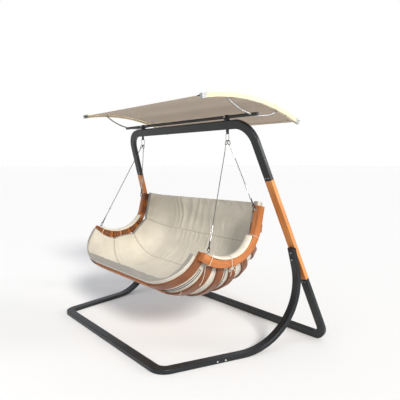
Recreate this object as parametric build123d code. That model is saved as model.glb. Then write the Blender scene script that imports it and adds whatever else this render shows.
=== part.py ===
from build123d import *
import math
import os

os.makedirs("parts", exist_ok=True)

# Canopy swing bench.  Millimetres, +Z up, +X along the bench, -Y is the front.
# The origin is on the floor, under the middle of the stand.

# ---------------------------------------------------------------- driving dimensions
DEPTH = 1628.0          # floor depth of the stand, front to back
BEAM_Z = 2000.0         # centre of the crossbeam above the floor
LEG_SETBACK = 685.0     # how far the rear bar stands behind the crossbeam
BEAM_HALF = 1002.0      # where beam and leg centrelines would meet
FOOT_HALF = 1335.0      # where leg and rear bar centrelines would meet
FRONT_HALF = 915.0      # where front bar and side rail centrelines would meet
RAIL_SPREAD = 13.4      # plan angle of a side rail from straight back, degrees

TUBE_WIDE = 80.0        # rectangular steel tube of the stand
TUBE_DEEP = 40.0
TUBE_WALL = 2.5
TUBE_ROUND = 6.0
BEAM_BEND = 210.0       # centreline radii of the tube bends
FOOT_BEND = 100.0
FRONT_BEND = 110.0

POST_TOP_Z = 1505.0     # the timber part of each leg
POST_BOTTOM_Z = 610.0
RAIL_JOINT = 530.0      # from the front corner to the joint in a side rail
SWEEP_START = 746.0     # where a side rail begins to curve up
SWEEP_RADIUS = 567.0
SWEEP_TURN = 104.0      # degrees, a little past upright
SWEEP_TOP_Z = 900.0

HANG_HALF = 729.0       # the two hang points on the beam
ARC_X = 975.0           # middle of each timber side arc
ARC_WIDE = 60.0
ARC_DEEP = 72.0
SLAT_FIRST = 21.0
SLAT_PITCH = 120.0
LOW_SLATS = 6           # evenly spaced; two more stand further apart up the back
HIGH_STATIONS = (781.0, 941.0)
SLAT_COUNT = LOW_SLATS + len(HIGH_STATIONS)
SLAT_WIDE = 75.0
SLAT_THICK = 18.0
SHOULDER_RADIUS = 260.0     # a slat's bend next to the side arc, then the wider bend below it
HIP_RADIUS = 550.0
CUSHION_THICK = 60.0

CANOPY_Z = 2070.0       # axis of the canopy beam
CANOPY_TILT = -7.0      # degrees about the beam, front edge up
CANOPY_HALF_CHORD = 582.0
CANOPY_CORNER_H = 50.0
CANOPY_SAGITTA = 92.0
CANOPY_ARC_X = 1060.0
CANOPY_BEAM_HALF = 1100.0

# ---------------------------------------------------------------- worked-out places
REAR_BAR_Z = 44.0       # close to the height of the rear bar's middle
LEAN = math.atan2(LEG_SETBACK, BEAM_Z - REAR_BAR_Z)
# Half the height and depth that a leaning tube takes up, with its rounded corners.
FLAT_WIDE = TUBE_WIDE / 2 - TUBE_ROUND
FLAT_DEEP = TUBE_DEEP / 2 - TUBE_ROUND
FOOT_HALF_HEIGHT = FLAT_WIDE * math.cos(LEAN) + FLAT_DEEP * math.sin(LEAN) + TUBE_ROUND
FOOT_HALF_DEPTH = FLAT_WIDE * math.sin(LEAN) + FLAT_DEEP * math.cos(LEAN) + TUBE_ROUND
REAR_Y = DEPTH / 2 - FOOT_HALF_DEPTH
HANG_Y = REAR_Y - LEG_SETBACK
FRONT_Y = -DEPTH / 2 + TUBE_WIDE / 2
LEG_RUN = (BEAM_Z - FOOT_HALF_HEIGHT) / math.cos(LEAN)
LOOP_PLANE = Plane(
    origin=(0, HANG_Y, BEAM_Z), x_dir=(1, 0, 0), z_dir=(0, -math.cos(LEAN), -math.sin(LEAN))
)
SPREAD = math.radians(RAIL_SPREAD)
SIDES = {"left": -1, "right": 1}


def save(name, shape):
    shape.label = name
    export_step(shape, f"parts/{name}.step")


def group(shapes):
    return Compound(children=list(shapes))


def tube_section():
    outer = RectangleRounded(TUBE_WIDE, TUBE_DEEP, TUBE_ROUND)
    inner_wide = TUBE_WIDE - 2 * TUBE_WALL
    inner_deep = TUBE_DEEP - 2 * TUBE_WALL
    return outer - RectangleRounded(inner_wide, inner_deep, TUBE_ROUND - TUBE_WALL)


def sweep_tube(path, wide_dir):
    """Sweep the tube along a path.  wide_dir is the direction of its wide side at the start."""
    start = Plane(origin=path @ 0, x_dir=wide_dir, z_dir=path % 0)
    return sweep(start * tube_section(), path=path)


def rod(start, end, diameter):
    start = Vector(*start)
    end = Vector(*end)
    axis = end - start
    return Plane(origin=start, z_dir=axis) * Cylinder(
        diameter / 2, axis.length, align=(Align.CENTER, Align.CENTER, Align.MIN)
    )


# ---------------------------------------------------------------- stand: main loop
def loop_point(u, v, w=0.0):
    """A point in the leaning plane of the main loop: u across, v up, w to the front."""
    return LOOP_PLANE.from_local_coords(Vector(u, v, w))


def leg_u(v):
    return BEAM_HALF + (FOOT_HALF - BEAM_HALF) * (-v / LEG_RUN)


def v_at_height(z):
    return -(BEAM_Z - z) / math.cos(LEAN)


POST_TOP_V = v_at_height(POST_TOP_Z)
POST_BOTTOM_V = v_at_height(POST_BOTTOM_Z)


def loop_path(points, radius):
    return FilletPolyline(*[loop_point(*p) for p in points], radius=radius)


def wide_at_start(path):
    """In the loop plane, square to the path."""
    return (path % 0).cross(LOOP_PLANE.z_dir)


def top_arch():
    u = leg_u(POST_TOP_V)
    path = loop_path(
        [(-u, POST_TOP_V), (-BEAM_HALF, 0), (BEAM_HALF, 0), (u, POST_TOP_V)], BEAM_BEND
    )
    return sweep_tube(path, wide_at_start(path))


def rear_base():
    u = leg_u(POST_BOTTOM_V)
    path = loop_path(
        [(-u, POST_BOTTOM_V), (-FOOT_HALF, -LEG_RUN), (FOOT_HALF, -LEG_RUN), (u, POST_BOTTOM_V)],
        FOOT_BEND,
    )
    return sweep_tube(path, wide_at_start(path))


def leg_frame(side, v):
    """A plane square to the leg at v: its x is across the leg in the loop plane."""
    top = loop_point(side * leg_u(POST_TOP_V), POST_TOP_V)
    bottom = loop_point(side * leg_u(POST_BOTTOM_V), POST_BOTTOM_V)
    axis = (top - bottom).normalized()
    across = axis.cross(LOOP_PLANE.z_dir)
    return Plane(origin=loop_point(side * leg_u(v), v), x_dir=across, z_dir=axis)


TENON_TUBE = 60.0
TENON_WOOD = 110.0
TENON_WIDE = 50.0
TENON_THICK = 12.0
TENON_GAP = 0.2


def tenon(side, v, into_tube):
    """A steel tongue: a block inside the tube and a flat plate inside the timber."""
    frame = leg_frame(side, v)
    up = into_tube
    block = Pos(0, 0, up * TENON_TUBE / 2) * Box(
        TUBE_WIDE - 2 * TUBE_WALL - 0.4, TUBE_DEEP - 2 * TUBE_WALL - 0.4, TENON_TUBE
    )
    block = fillet(block.edges().filter_by(Axis.Z), TUBE_ROUND - TUBE_WALL)
    plate = Pos(0, 0, -up * TENON_WOOD / 2) * Box(TENON_WIDE, TENON_THICK, TENON_WOOD)
    return frame * (block + plate)


def post(side):
    length = (leg_frame(side, POST_TOP_V).origin - leg_frame(side, POST_BOTTOM_V).origin).length
    frame = leg_frame(side, POST_BOTTOM_V)
    timber = Box(TUBE_WIDE, TUBE_DEEP, length, align=(Align.CENTER, Align.CENTER, Align.MIN))
    timber = fillet(timber.edges().filter_by(Axis.Z), TUBE_ROUND - 1)
    slot = Box(TENON_WIDE + TENON_GAP, TENON_THICK + TENON_GAP, TENON_WOOD + TENON_GAP)
    timber -= Pos(0, 0, (TENON_WOOD + TENON_GAP) / 2) * slot
    timber -= Pos(0, 0, length - (TENON_WOOD + TENON_GAP) / 2) * slot
    return frame * timber


# ---------------------------------------------------------------- stand: front base
def rail_point(side, along, z):
    x = side * (FRONT_HALF + along * math.sin(SPREAD))
    return (x, FRONT_Y + along * math.cos(SPREAD), z)


RAIL_Z = TUBE_DEEP / 2


def front_base():
    path = FilletPolyline(
        rail_point(-1, RAIL_JOINT, RAIL_Z),
        (-FRONT_HALF, FRONT_Y, RAIL_Z),
        (FRONT_HALF, FRONT_Y, RAIL_Z),
        rail_point(1, RAIL_JOINT, RAIL_Z),
        radius=FRONT_BEND,
    )
    return sweep_tube(path, (path % 0).cross(Vector(0, 0, 1)))


def sweep_points():
    """The side sweep's line in its upright plane: along the rail, and height."""
    turn = math.radians(SWEEP_TURN)
    bend_end = (
        SWEEP_START + SWEEP_RADIUS * math.sin(turn),
        RAIL_Z + SWEEP_RADIUS * (1 - math.cos(turn)),
    )
    rise = SWEEP_TOP_Z - bend_end[1]
    top = (bend_end[0] + rise / math.tan(turn), SWEEP_TOP_Z)
    half = turn / 2
    middle = (
        SWEEP_START + SWEEP_RADIUS * math.sin(half),
        RAIL_Z + SWEEP_RADIUS * (1 - math.cos(half)),
    )
    return middle, bend_end, top


def sweep_path(side):
    middle, bend_end, top = sweep_points()
    start = rail_point(side, SWEEP_START, RAIL_Z)
    return Wire(
        [
            Line(rail_point(side, RAIL_JOINT, RAIL_Z), start),
            ThreePointArc(start, rail_point(side, *middle), rail_point(side, *bend_end)),
            Line(rail_point(side, *bend_end), rail_point(side, *top)),
        ]
    )


def behind_post_front(margin=0.0):
    """Everything behind the front faces of the posts."""
    reach = 4000.0
    block = Box(reach, reach, reach, align=(Align.CENTER, Align.CENTER, Align.MAX))
    return LOOP_PLANE * (Pos(0, 0, TUBE_DEEP / 2 + margin) * block)


def side_sweep(side):
    path = sweep_path(side)
    across = (path % 0).cross(Vector(0, 0, 1))
    return sweep_tube(path, across) - behind_post_front()


def sweep_end_frame(side):
    path = sweep_path(side)
    direction = path % 1
    across = Vector(math.cos(SPREAD), -side * math.sin(SPREAD), 0)
    return Plane(origin=path @ 1, x_dir=across, z_dir=direction)


CAP_LIP = 3.0
CAP_PLUG = 15.0


def sweep_cap(side):
    inner = RectangleRounded(TUBE_WIDE - 2 * TUBE_WALL - 0.4, TUBE_DEEP - 2 * TUBE_WALL - 0.4, 3)
    plug = extrude(inner, -CAP_PLUG)
    lip = extrude(RectangleRounded(TUBE_WIDE, TUBE_DEEP, TUBE_ROUND), CAP_LIP)
    lip = fillet(lip.edges().group_by(Axis.Z)[-1], 1.2)
    return sweep_end_frame(side) * (plug + lip) - behind_post_front(0.2)


SLEEVE_LENGTH = 160.0


def rail_sleeve(side):
    """A sleeve inside the joint of a side rail."""
    joint = Vector(*rail_point(side, RAIL_JOINT, RAIL_Z))
    direction = Vector(*rail_point(side, RAIL_JOINT + 1, RAIL_Z)) - joint
    frame = Plane(origin=joint, x_dir=direction.cross(Vector(0, 0, 1)), z_dir=direction)
    outer = RectangleRounded(TUBE_WIDE - 2 * TUBE_WALL - 0.4, TUBE_DEEP - 2 * TUBE_WALL - 0.4, 3)
    inner = RectangleRounded(TUBE_WIDE - 4 * TUBE_WALL - 1, TUBE_DEEP - 4 * TUBE_WALL - 1, 2)
    return frame * extrude(outer - inner, SLEEVE_LENGTH / 2, both=True)


# ---------------------------------------------------------------- fasteners of the stand
HEAD_DIAMETER = 16.0
HEAD_HEIGHT = 5.0
BOLT_DIAMETER = 8.0


def dome_head(diameter=HEAD_DIAMETER, height=HEAD_HEIGHT):
    """A domed head that stands on the local z=0 plane."""
    head = Cylinder(diameter / 2, height, align=(Align.CENTER, Align.CENTER, Align.MIN))
    head = fillet(head.edges().group_by(Axis.Z)[-1], height * 0.6)
    socket = extrude(RegularPolygon(diameter * 0.2, 6), height * 0.5)
    return head - Pos(0, 0, height * 0.6) * socket


LAG_LENGTH = 68.0
LAG_DROPS = (40.0, 105.0)       # below the top of a sweep
RAIL_BOLT_REACH = 12.0
RAIL_BOLT_SHIFT = 38.0
SCREW_REACH = 24.0
SCREW_SIZE = 5.0
SCREW_SIDE = 16.0
SCREW_FROM_JOINT = 26.0


def pin(length, diameter):
    """A shank that runs down the local -z from the origin plane."""
    return Cylinder(diameter / 2, length, align=(Align.CENTER, Align.CENTER, Align.MAX))


def lag_frames(side):
    """The bolts that hold the top of a sweep to the front of the timber post."""
    for drop in LAG_DROPS:
        yield sweep_end_frame(side) * Pos(0, -TUBE_DEEP / 2, -drop) * Rot(90, 0, 0)


def rail_bolt_frames(side):
    """Two button bolts on the outer side of a rail, one each side of its joint."""
    for shift in (-RAIL_BOLT_SHIFT, RAIL_BOLT_SHIFT):
        x, y, z = rail_point(side, RAIL_JOINT + shift, RAIL_Z)
        out = Vector(side * math.cos(SPREAD), -math.sin(SPREAD), 0)
        origin = Vector(x, y, z) + out * (TUBE_WIDE / 2)
        yield Plane(origin=origin, x_dir=(0, 0, 1), z_dir=out)


def post_screw_frames(side):
    """Pairs of screws through the front of the steel into each tenon block."""
    for v, up in ((POST_TOP_V, 1), (POST_BOTTOM_V, -1)):
        for across in (-SCREW_SIDE, SCREW_SIDE):
            place = Pos(across, -TUBE_DEEP / 2, up * SCREW_FROM_JOINT) * Rot(90, 0, 0)
            yield leg_frame(side, v) * place


def lag_holes(side):
    return [f * pin(LAG_LENGTH + 1, BOLT_DIAMETER + 0.2) for f in lag_frames(side)]


def rail_holes(side):
    return [f * pin(RAIL_BOLT_REACH + 1, BOLT_DIAMETER + 0.2) for f in rail_bolt_frames(side)]


def post_screw_holes(side):
    return [f * pin(SCREW_REACH + 1, SCREW_SIZE + 0.2) for f in post_screw_frames(side)]


def frame_bolts():
    bolts = []
    for side in SIDES.values():
        bolts += [f * (dome_head() + pin(LAG_LENGTH, BOLT_DIAMETER)) for f in lag_frames(side)]
        rail_bolt = dome_head() + pin(RAIL_BOLT_REACH, BOLT_DIAMETER)
        bolts += [f * rail_bolt for f in rail_bolt_frames(side)]
    return bolts


def post_screws():
    screw = dome_head(10, 3) + pin(SCREW_REACH, SCREW_SIZE)
    return [f * screw for side in SIDES.values() for f in post_screw_frames(side)]


# ---------------------------------------------------------------- seat curve
ARC_TIP = (-497.0, 902.0)      # front tip of the arc's middle line, behind/ahead of the hang axis
TIP_HEADING = -38.0
LOW_RADIUS = 440.0
LOW_TURN = 53.0
BACK_RADIUS = 340.0
BACK_TURN = 62.0
BACK_STRAIGHT = 200.0
LOW_LENGTH = LOW_RADIUS * math.radians(LOW_TURN)
BACK_LENGTH = BACK_RADIUS * math.radians(BACK_TURN)
ARC_LENGTH = LOW_LENGTH + BACK_LENGTH + BACK_STRAIGHT


def turn_from(point, heading, radius, turn):
    """Follow a left-hand bend: the new point and heading, in degrees."""
    chord = 2 * radius * math.sin(math.radians(turn) / 2)
    direction = math.radians(heading + turn / 2)
    y = point[0] + chord * math.cos(direction)
    z = point[1] + chord * math.sin(direction)
    return (y, z), heading + turn


def go_straight(point, heading, length):
    direction = math.radians(heading)
    return (point[0] + length * math.cos(direction), point[1] + length * math.sin(direction))


def station(s):
    """Point and heading of the arc's middle line at the length s from its front tip."""
    if s <= 0:
        return go_straight(ARC_TIP, TIP_HEADING, s), TIP_HEADING
    if s <= LOW_LENGTH:
        return turn_from(ARC_TIP, TIP_HEADING, LOW_RADIUS, math.degrees(s / LOW_RADIUS))
    point, heading = turn_from(ARC_TIP, TIP_HEADING, LOW_RADIUS, LOW_TURN)
    s -= LOW_LENGTH
    if s <= BACK_LENGTH:
        return turn_from(point, heading, BACK_RADIUS, math.degrees(s / BACK_RADIUS))
    point, heading = turn_from(point, heading, BACK_RADIUS, BACK_TURN)
    return go_straight(point, heading, s - BACK_LENGTH), heading


def seat_point(s, out=0.0, x=0.0):
    """Where the seat is at station s: out is away from the sitter, square to the arc."""
    (y, z), heading = station(s)
    h = math.radians(heading)
    return Vector(x, HANG_Y + y + out * math.sin(h), z - out * math.cos(h))


def seat_frame(s, out=0.0, x=0.0):
    """Local x is along the bench, local y is outward, local z is the way s grows."""
    heading = math.radians(station(s)[1])
    travel = (0, math.cos(heading), math.sin(heading))
    return Plane(origin=seat_point(s, out, x), x_dir=(1, 0, 0), z_dir=travel)


def seat_path(start, end, out=0.0, x=0.0):
    """The arc's line from station start to station end, moved outward."""
    edges = []
    stops = [start]
    stops += [s for s in (0.0, LOW_LENGTH, LOW_LENGTH + BACK_LENGTH) if start < s < end]
    stops.append(end)
    for a, b in zip(stops, stops[1:]):
        p, q = seat_point(a, out, x), seat_point(b, out, x)
        if abs(station(a)[1] - station(b)[1]) < 0.01:
            edges.append(Line(p, q))
        else:
            edges.append(ThreePointArc(p, seat_point((a + b) / 2, out, x), q))
    return Wire(edges)


def sweep_seat(section, start, end, out=0.0, x=0.0):
    path = seat_path(start, end, out, x)
    frame = seat_frame(start, out, x)
    return sweep(frame * section, path=path)


# ---------------------------------------------------------------- slats
TAB_X = ARC_X - ARC_WIDE / 2            # outer face of a slat's upright end
TAB_TOP = -ARC_DEEP + 4.0               # upright ends reach nearly to the top of the arc
HALF_TURN = math.sqrt(0.5)              # sine and cosine of 45 degrees
FULL_DROP = HIP_RADIUS - (HIP_RADIUS - SHOULDER_RADIUS) * HALF_TURN
TAPER_START = 440.0                     # from here up the back the bowl grows shallower
TAPER_EASE = 120.0
TAPER = 0.33


def bowl_drop(s):
    """How far the slats bow out below the side arcs at station s."""
    past = s - TAPER_START
    if past <= 0:
        return FULL_DROP
    if past <= TAPER_EASE:
        return FULL_DROP - TAPER * past**2 / (2 * TAPER_EASE)
    return FULL_DROP - TAPER * (past - TAPER_EASE / 2)


def on_circle(centre, radius, degrees):
    a = math.radians(degrees)
    return (centre[0] + radius * math.cos(a), centre[1] + radius * math.sin(a))


def slat_bend(drop, inset):
    """Right half of a slat's line, moved inward by inset: five points from the arc to the flat."""
    scale = drop / FULL_DROP
    shoulder = SHOULDER_RADIUS * scale
    hip = HIP_RADIUS * scale
    step = (hip - shoulder) * HALF_TURN
    high = (TAB_X - shoulder, 0)
    low = (high[0] - step, -step)
    places = ((high, shoulder, 0), (high, shoulder, 22.5), (high, shoulder, 45))
    places += ((low, hip, 67.5), (low, hip, 90))
    return [on_circle(centre, radius - inset, degrees) for centre, radius, degrees in places]


def bend_lines(points, top):
    """An upright line up to the height top, then two arcs down to the flat."""
    a, b, c, d, e = points
    return [Line((a[0], top), a), ThreePointArc(a, b, c), ThreePointArc(c, d, e)]


def flipped(points):
    return [(-x, y) for x, y in points]


def slat_section(drop):
    """A U in the plane of a slat."""
    outer = slat_bend(drop, 0)
    inner = slat_bend(drop, SLAT_THICK)
    lines = [Line(outer[-1], flipped(outer)[-1]), Line(inner[-1], flipped(inner)[-1])]
    for side in (outer, inner, flipped(outer), flipped(inner)):
        lines += bend_lines(side, TAB_TOP)
    for side in (1, -1):
        lines.append(Line((side * outer[0][0], TAB_TOP), (side * inner[0][0], TAB_TOP)))
    return make_face(lines)


UNDER = ARC_DEEP / 2


SCREW_SHANK = 4.5
SCREW_LENGTH = 45.0
SCREW_SPACING = 36.0


def slat_station(index):
    if index < LOW_SLATS:
        return SLAT_FIRST + index * SLAT_PITCH
    return HIGH_STATIONS[index - LOW_SLATS]


def slat_screw_frames(index, side):
    """Two screws hold each slat end to the inner face of the side arc."""
    face = side * (TAB_X - SLAT_THICK)
    inward = Rot(0, -90 * side, 0)
    for shift in (-SCREW_SPACING / 2, SCREW_SPACING / 2):
        yield seat_frame(slat_station(index) + shift, 0, face) * inward


def screw_holes(frames):
    hole = Cylinder(
        SCREW_SHANK / 2 + 0.05, SCREW_LENGTH + 0.5, align=(Align.CENTER, Align.CENTER, Align.MAX)
    )
    return [frame * hole for frame in frames]


def slat(index):
    s = slat_station(index)
    half = SLAT_WIDE / 2
    # Where the arc bends, half a slat's width spans less of the arc's own length.
    in_bend = s < LOW_LENGTH + BACK_LENGTH
    reach = half * (BACK_RADIUS / (BACK_RADIUS + UNDER + FULL_DROP) if in_bend else 1)
    front, back = bowl_drop(s - reach), bowl_drop(s + reach)
    if front == back:
        board = extrude(slat_section(front), half, both=True)
    else:
        ends = [Pos(0, 0, -half) * slat_section(front), Pos(0, 0, half) * slat_section(back)]
        board = loft(ends, ruled=True)
    board = seat_frame(s, UNDER) * board
    for side in SIDES.values():
        board -= screw_holes(slat_screw_frames(index, side))
    return board


def slat_screws(side):
    head = Cylinder(5, 2.4, align=(Align.CENTER, Align.CENTER, Align.MIN))
    shank = Cylinder(
        SCREW_SHANK / 2, SCREW_LENGTH, align=(Align.CENTER, Align.CENTER, Align.MAX)
    )
    screws = []
    for index in range(SLAT_COUNT):
        screws += [frame * (head + shank) for frame in slat_screw_frames(index, side)]
    return screws


# ---------------------------------------------------------------- side arcs
EYE_STATIONS = {"front": 46.0, "rear": ARC_LENGTH - 40.0}
EYE_BOLT = 8.0
EYE_BOLT_DEPTH = 50.0
EYE_WIRE = 6.0
EYE_RADIUS = 11.0
COLLAR_LIFT = 0.35       # a flat collar clears the hollow of the arc's upper face
EYE_RISE = 15.0         # from the arc's upper face to the middle of the eye


def side_arc(side):
    bar = sweep_seat(RectangleRounded(ARC_WIDE, ARC_DEEP, 5), 0, ARC_LENGTH, x=side * ARC_X)
    for s in EYE_STATIONS.values():
        hole = Cylinder(
            EYE_BOLT / 2 + 0.1, EYE_BOLT_DEPTH + 1.5, align=(Align.CENTER, Align.CENTER, Align.MIN)
        )
        bar -= seat_frame(s, -UNDER, side * ARC_X) * (Pos(0, -1, 0) * (Rot(-90, 0, 0) * hole))
    for index in range(SLAT_COUNT):
        bar -= screw_holes(slat_screw_frames(index, side))
    return bar


def eye_frame(side, end):
    """Local y is outward from the sitter, so the eye stands on the -y side."""
    return seat_frame(EYE_STATIONS[end], -UNDER, side * ARC_X)


def eye_bolt(side, end):
    """A screw eye: a ring that stands on the arc's upper face, on a stem down into it."""
    ring = Torus(EYE_RADIUS, EYE_WIRE / 2)
    ring = Pos(0, -EYE_RISE - EYE_WIRE / 2, 0) * (Rot(0, 90, 0) * ring)
    collar = Pos(0, -COLLAR_LIFT, 0) * (
        Rot(-90, 0, 0) * Cylinder(9, 3, align=(Align.CENTER, Align.CENTER, Align.MAX))
    )
    stem = Rot(-90, 0, 0) * Cylinder(
        EYE_BOLT / 2, EYE_BOLT_DEPTH, align=(Align.CENTER, Align.CENTER, Align.MIN)
    )
    neck = Rot(-90, 0, 0) * Cylinder(3.5, 7, align=(Align.CENTER, Align.CENTER, Align.MAX))
    return eye_frame(side, end) * (ring + collar + neck + stem)


def eye_centre(side, end):
    centre = eye_frame(side, end).from_local_coords(Vector(0, -EYE_RISE - EYE_WIRE / 2, 0))
    return centre


# ---------------------------------------------------------------- cushion and arm pads
CUSHION_GAP = 1.0
CUSHION_RIM = -15.0     # the cushion's side edges end a little above the arcs' underside
CUSHION_FRONT = -42.0
CUSHION_TOP = ARC_LENGTH + 40.0
WALL_INNER_X = 872.0
INNER_BEND_TOP = 27.0   # where the inner face begins to bend
BACK_STATIONS = (TAPER_START, 500.0, 560.0, 630.0, 700.0, 745.0, 790.0)


def cushion_section(drop):
    """The slats' bend on the outside; on the inside an upright wall and a tighter corner."""
    outer = slat_bend(drop, SLAT_THICK + CUSHION_GAP)
    low = drop - SLAT_THICK - CUSHION_THICK
    radius = low - INNER_BEND_TOP
    centre = (WALL_INNER_X - radius, INNER_BEND_TOP)
    inner = [on_circle(centre, radius, degrees) for degrees in (0, 45, 90)]
    lines = [Line(outer[-1], flipped(outer)[-1]), Line(inner[-1], flipped(inner)[-1])]
    for side in (outer, flipped(outer)):
        lines += bend_lines(side, CUSHION_RIM)
    for start, middle, end in (inner, flipped(inner)):
        lines.append(Line((start[0], CUSHION_RIM), start))
        lines.append(ThreePointArc(start, middle, end))
    for side in (1, -1):
        rim = (side * outer[0][0], CUSHION_RIM)
        lines.append(Line(rim, (side * WALL_INNER_X, CUSHION_RIM)))
    return make_face(lines)


def seat_cushion():
    front = sweep_seat(cushion_section(FULL_DROP), CUSHION_FRONT, TAPER_START, out=UNDER)
    bend = [seat_frame(s, UNDER) * cushion_section(bowl_drop(s)) for s in BACK_STATIONS]
    end = seat_frame(CUSHION_TOP, UNDER) * cushion_section(bowl_drop(CUSHION_TOP))
    return front + loft(bend) + loft([bend[-1], end], ruled=True)


PAD_GAP = 1.2
PAD_THICK = 22.0
PAD_WIDE = 76.0
PAD_STATIONS = (75.0, 150.0, 225.0, 300.0, 375.0, 450.0, 530.0, 610.0, 690.0)
PAD_END = PAD_STATIONS[-1]
PAD_DRIFT = 24.0        # the pad's upper end has slipped towards the seat


def arm_pad(side):
    """A soft pad that lies along the upper face of a side arc."""
    section = Pos(0, -PAD_THICK / 2) * RectangleRounded(PAD_WIDE, PAD_THICK, 8)
    straight_to = PAD_STATIONS[4]
    sections = []
    for s in PAD_STATIONS:
        slip = max(0.0, (s - straight_to) / (PAD_END - straight_to)) ** 1.5
        x = side * (ARC_X - PAD_DRIFT * slip)
        sections.append(seat_frame(s, -UNDER - PAD_GAP, x) * section)
    return loft(sections)


TIE_CORD = 4.0
TIE_GAP = 0.7
TIE_STATIONS = (SLAT_FIRST + SLAT_PITCH / 2, SLAT_FIRST + SLAT_PITCH * 5 / 2, PAD_END + 6)


def pad_tie(side, s):
    """A thin cord tied round the side arc; the first two hold the arm pad as well."""
    over_pad = s < PAD_END
    wide = (PAD_WIDE if over_pad else ARC_WIDE) + 2 * TIE_GAP + TIE_CORD
    top = (PAD_THICK + PAD_GAP if over_pad else 0) + TIE_GAP + TIE_CORD / 2
    bottom = ARC_DEEP + TIE_GAP + TIE_CORD / 2
    loop = Pos(0, (bottom - top) / 2) * RectangleRounded(wide, bottom + top, 6.5)
    wire = seat_frame(s, -UNDER, side * ARC_X) * Wire(loop.edges())
    start = Plane(origin=wire @ 0.1, z_dir=wire % 0.1)
    return sweep(start * Circle(TIE_CORD / 2), path=wire)


# Loose ends of the ties, in the hang axis' own y: free cords, each a hand-placed route.
TIE_END_ROUTES = {
    "tie_end_front": [
        (958, -445.5, 819), (957, -446, 790), (953, -447.5, 757), (946, -450, 724),
        (936, -454, 692), (922, -459, 663), (905, -465, 639),
    ],
    "tie_end_low": [
        (752, -539, 565), (746, -542.5, 549), (736, -546, 532), (724, -548.5, 514),
        (711, -549, 498),
    ],
    "bow_end_1": [
        (1012, -194, 767), (1015, -197, 751), (1014, -203, 733), (1010, -207, 715),
        (1008, -209, 698),
    ],
    "bow_end_2": [
        (1012, -186, 767), (1015, -177, 753), (1014, -165, 741), (1010, -155, 727),
        (1006, -149, 710),
    ],
}


def tie_end(name):
    """A cord of straight runs joined by the largest arcs that the runs allow."""
    points = [Vector(x, HANG_Y + y, z) for x, y, z in TIE_END_ROUTES[name]]
    runs = [b - a for a, b in zip(points, points[1:])]
    radii = []
    for before, after in zip(runs, runs[1:]):
        half_turn = math.radians(before.get_angle(after)) / 2
        radii.append(0.45 * min(before.length, after.length) / math.tan(half_turn))
    print(name, "radii", [round(r) for r in radii])
    path = FilletPolyline(*points, radius=radii)
    start = Plane(origin=path @ 0, z_dir=path % 0)
    tube = sweep(start * Circle(TIE_CORD / 2), path=path)
    expected = math.pi * (TIE_CORD / 2) ** 2 * path.length
    print(name, "length", round(path.length, 1), "volume ratio", round(tube.volume / expected, 4))
    return tube


# ---------------------------------------------------------------- suspension
LUG_THICK = 8.0
LUG_WIDE = 32.0
LUG_HOLE = 15.0
LUG_DROP = 26.0         # from the underside of the beam to the middle of the lug's hole
BEAM_UNDER_Z = BEAM_Z - FOOT_HALF_HEIGHT
PIVOT_Z = BEAM_UNDER_Z - LUG_DROP
CLIP_WIRE = 8.0
CLIP_HEIGHT = 92.0
CLIP_WIDE = 44.0


def hang_lug(side):
    """A plate welded under the beam, with a hole for the snap hook."""
    top = BEAM_Z - TUBE_WIDE / 2
    plate = Box(LUG_WIDE, LUG_THICK, top - PIVOT_Z, align=(Align.CENTER, Align.CENTER, Align.MIN))
    nose = Rot(90, 0, 0) * Cylinder(LUG_WIDE / 2, LUG_THICK)
    hole = Rot(90, 0, 0) * Cylinder(LUG_HOLE / 2, LUG_THICK * 3)
    placed = Pos(side * HANG_HALF, HANG_Y, PIVOT_Z) * (plate + nose - hole)
    beam = LOOP_PLANE * Box(4 * BEAM_HALF, TUBE_WIDE, TUBE_DEEP)
    return placed - beam


def clip_wire_path(side):
    """The oval of a snap hook: its top wire runs through the hole of the lug."""
    centre_z = PIVOT_Z - (CLIP_HEIGHT - CLIP_WIRE) / 2
    plane = Plane(origin=(side * HANG_HALF, HANG_Y, centre_z), x_dir=(0, 1, 0), z_dir=(1, 0, 0))
    oval = SlotOverall(CLIP_HEIGHT - CLIP_WIRE, CLIP_WIDE - CLIP_WIRE, rotation=90)
    return plane, oval


def snap_hook(side):
    plane, oval = clip_wire_path(side)
    wire = plane * Wire(oval.edges())
    start = Plane(origin=wire @ 0.1, z_dir=wire % 0.1)
    ring = sweep(start * Circle(CLIP_WIRE / 2), path=wire)
    return ring - gate_space(side)


GATE_LENGTH = 40.0
GATE_CLEAR = 0.6
GATE_WIRE = CLIP_WIRE - 1.6
GATE_ROUND = GATE_WIRE / 2 - 0.1


def gate_axis(side):
    """The gate is the straight front side of the oval; it turns at its lower end."""
    plane, oval = clip_wire_path(side)
    x = -(CLIP_WIDE - CLIP_WIRE) / 2
    return plane, x


def gate_space(side):
    plane, x = gate_axis(side)
    block = Pos(x, 0, 0) * Box(CLIP_WIRE + 2, GATE_LENGTH, CLIP_WIRE + 2)
    return plane * block


def snap_gate(side):
    plane, x = gate_axis(side)
    bar = Cylinder(GATE_WIRE / 2, GATE_LENGTH - 2 * GATE_CLEAR)
    bar = fillet(bar.edges().filter_by(GeomType.CIRCLE), GATE_ROUND)
    return plane * (Pos(x, 0, 0) * (Rot(90, 0, 0) * bar))


CABLE = 7.0
CLIP_FLOOR_Z = PIVOT_Z - (CLIP_HEIGHT - CLIP_WIRE)
LOOP_APART = 7.5        # the two rope loops sit side by side in the hook
LOOP_RISE = 12.6
TOP_LOOP = 46.0
TOP_LOOP_WIDE = 34.0
TOP_SLEEVE = 46.0
TOP_SLEEVE_DIAMETER = 13.0
CRIMP_LENGTH = 85.0     # bright crimp tube below the sleeve of each rear rope
CRIMP_DIAMETER = 11.0
SHACKLE_START = 0.4
SHACKLE_END = 52.0
FOOT_SLEEVE_END = 106.0
BUCKLE_END = 236.0
SHACKLE_WIRE = 6.0
SHACKLE_WIDE = 36.0


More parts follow.
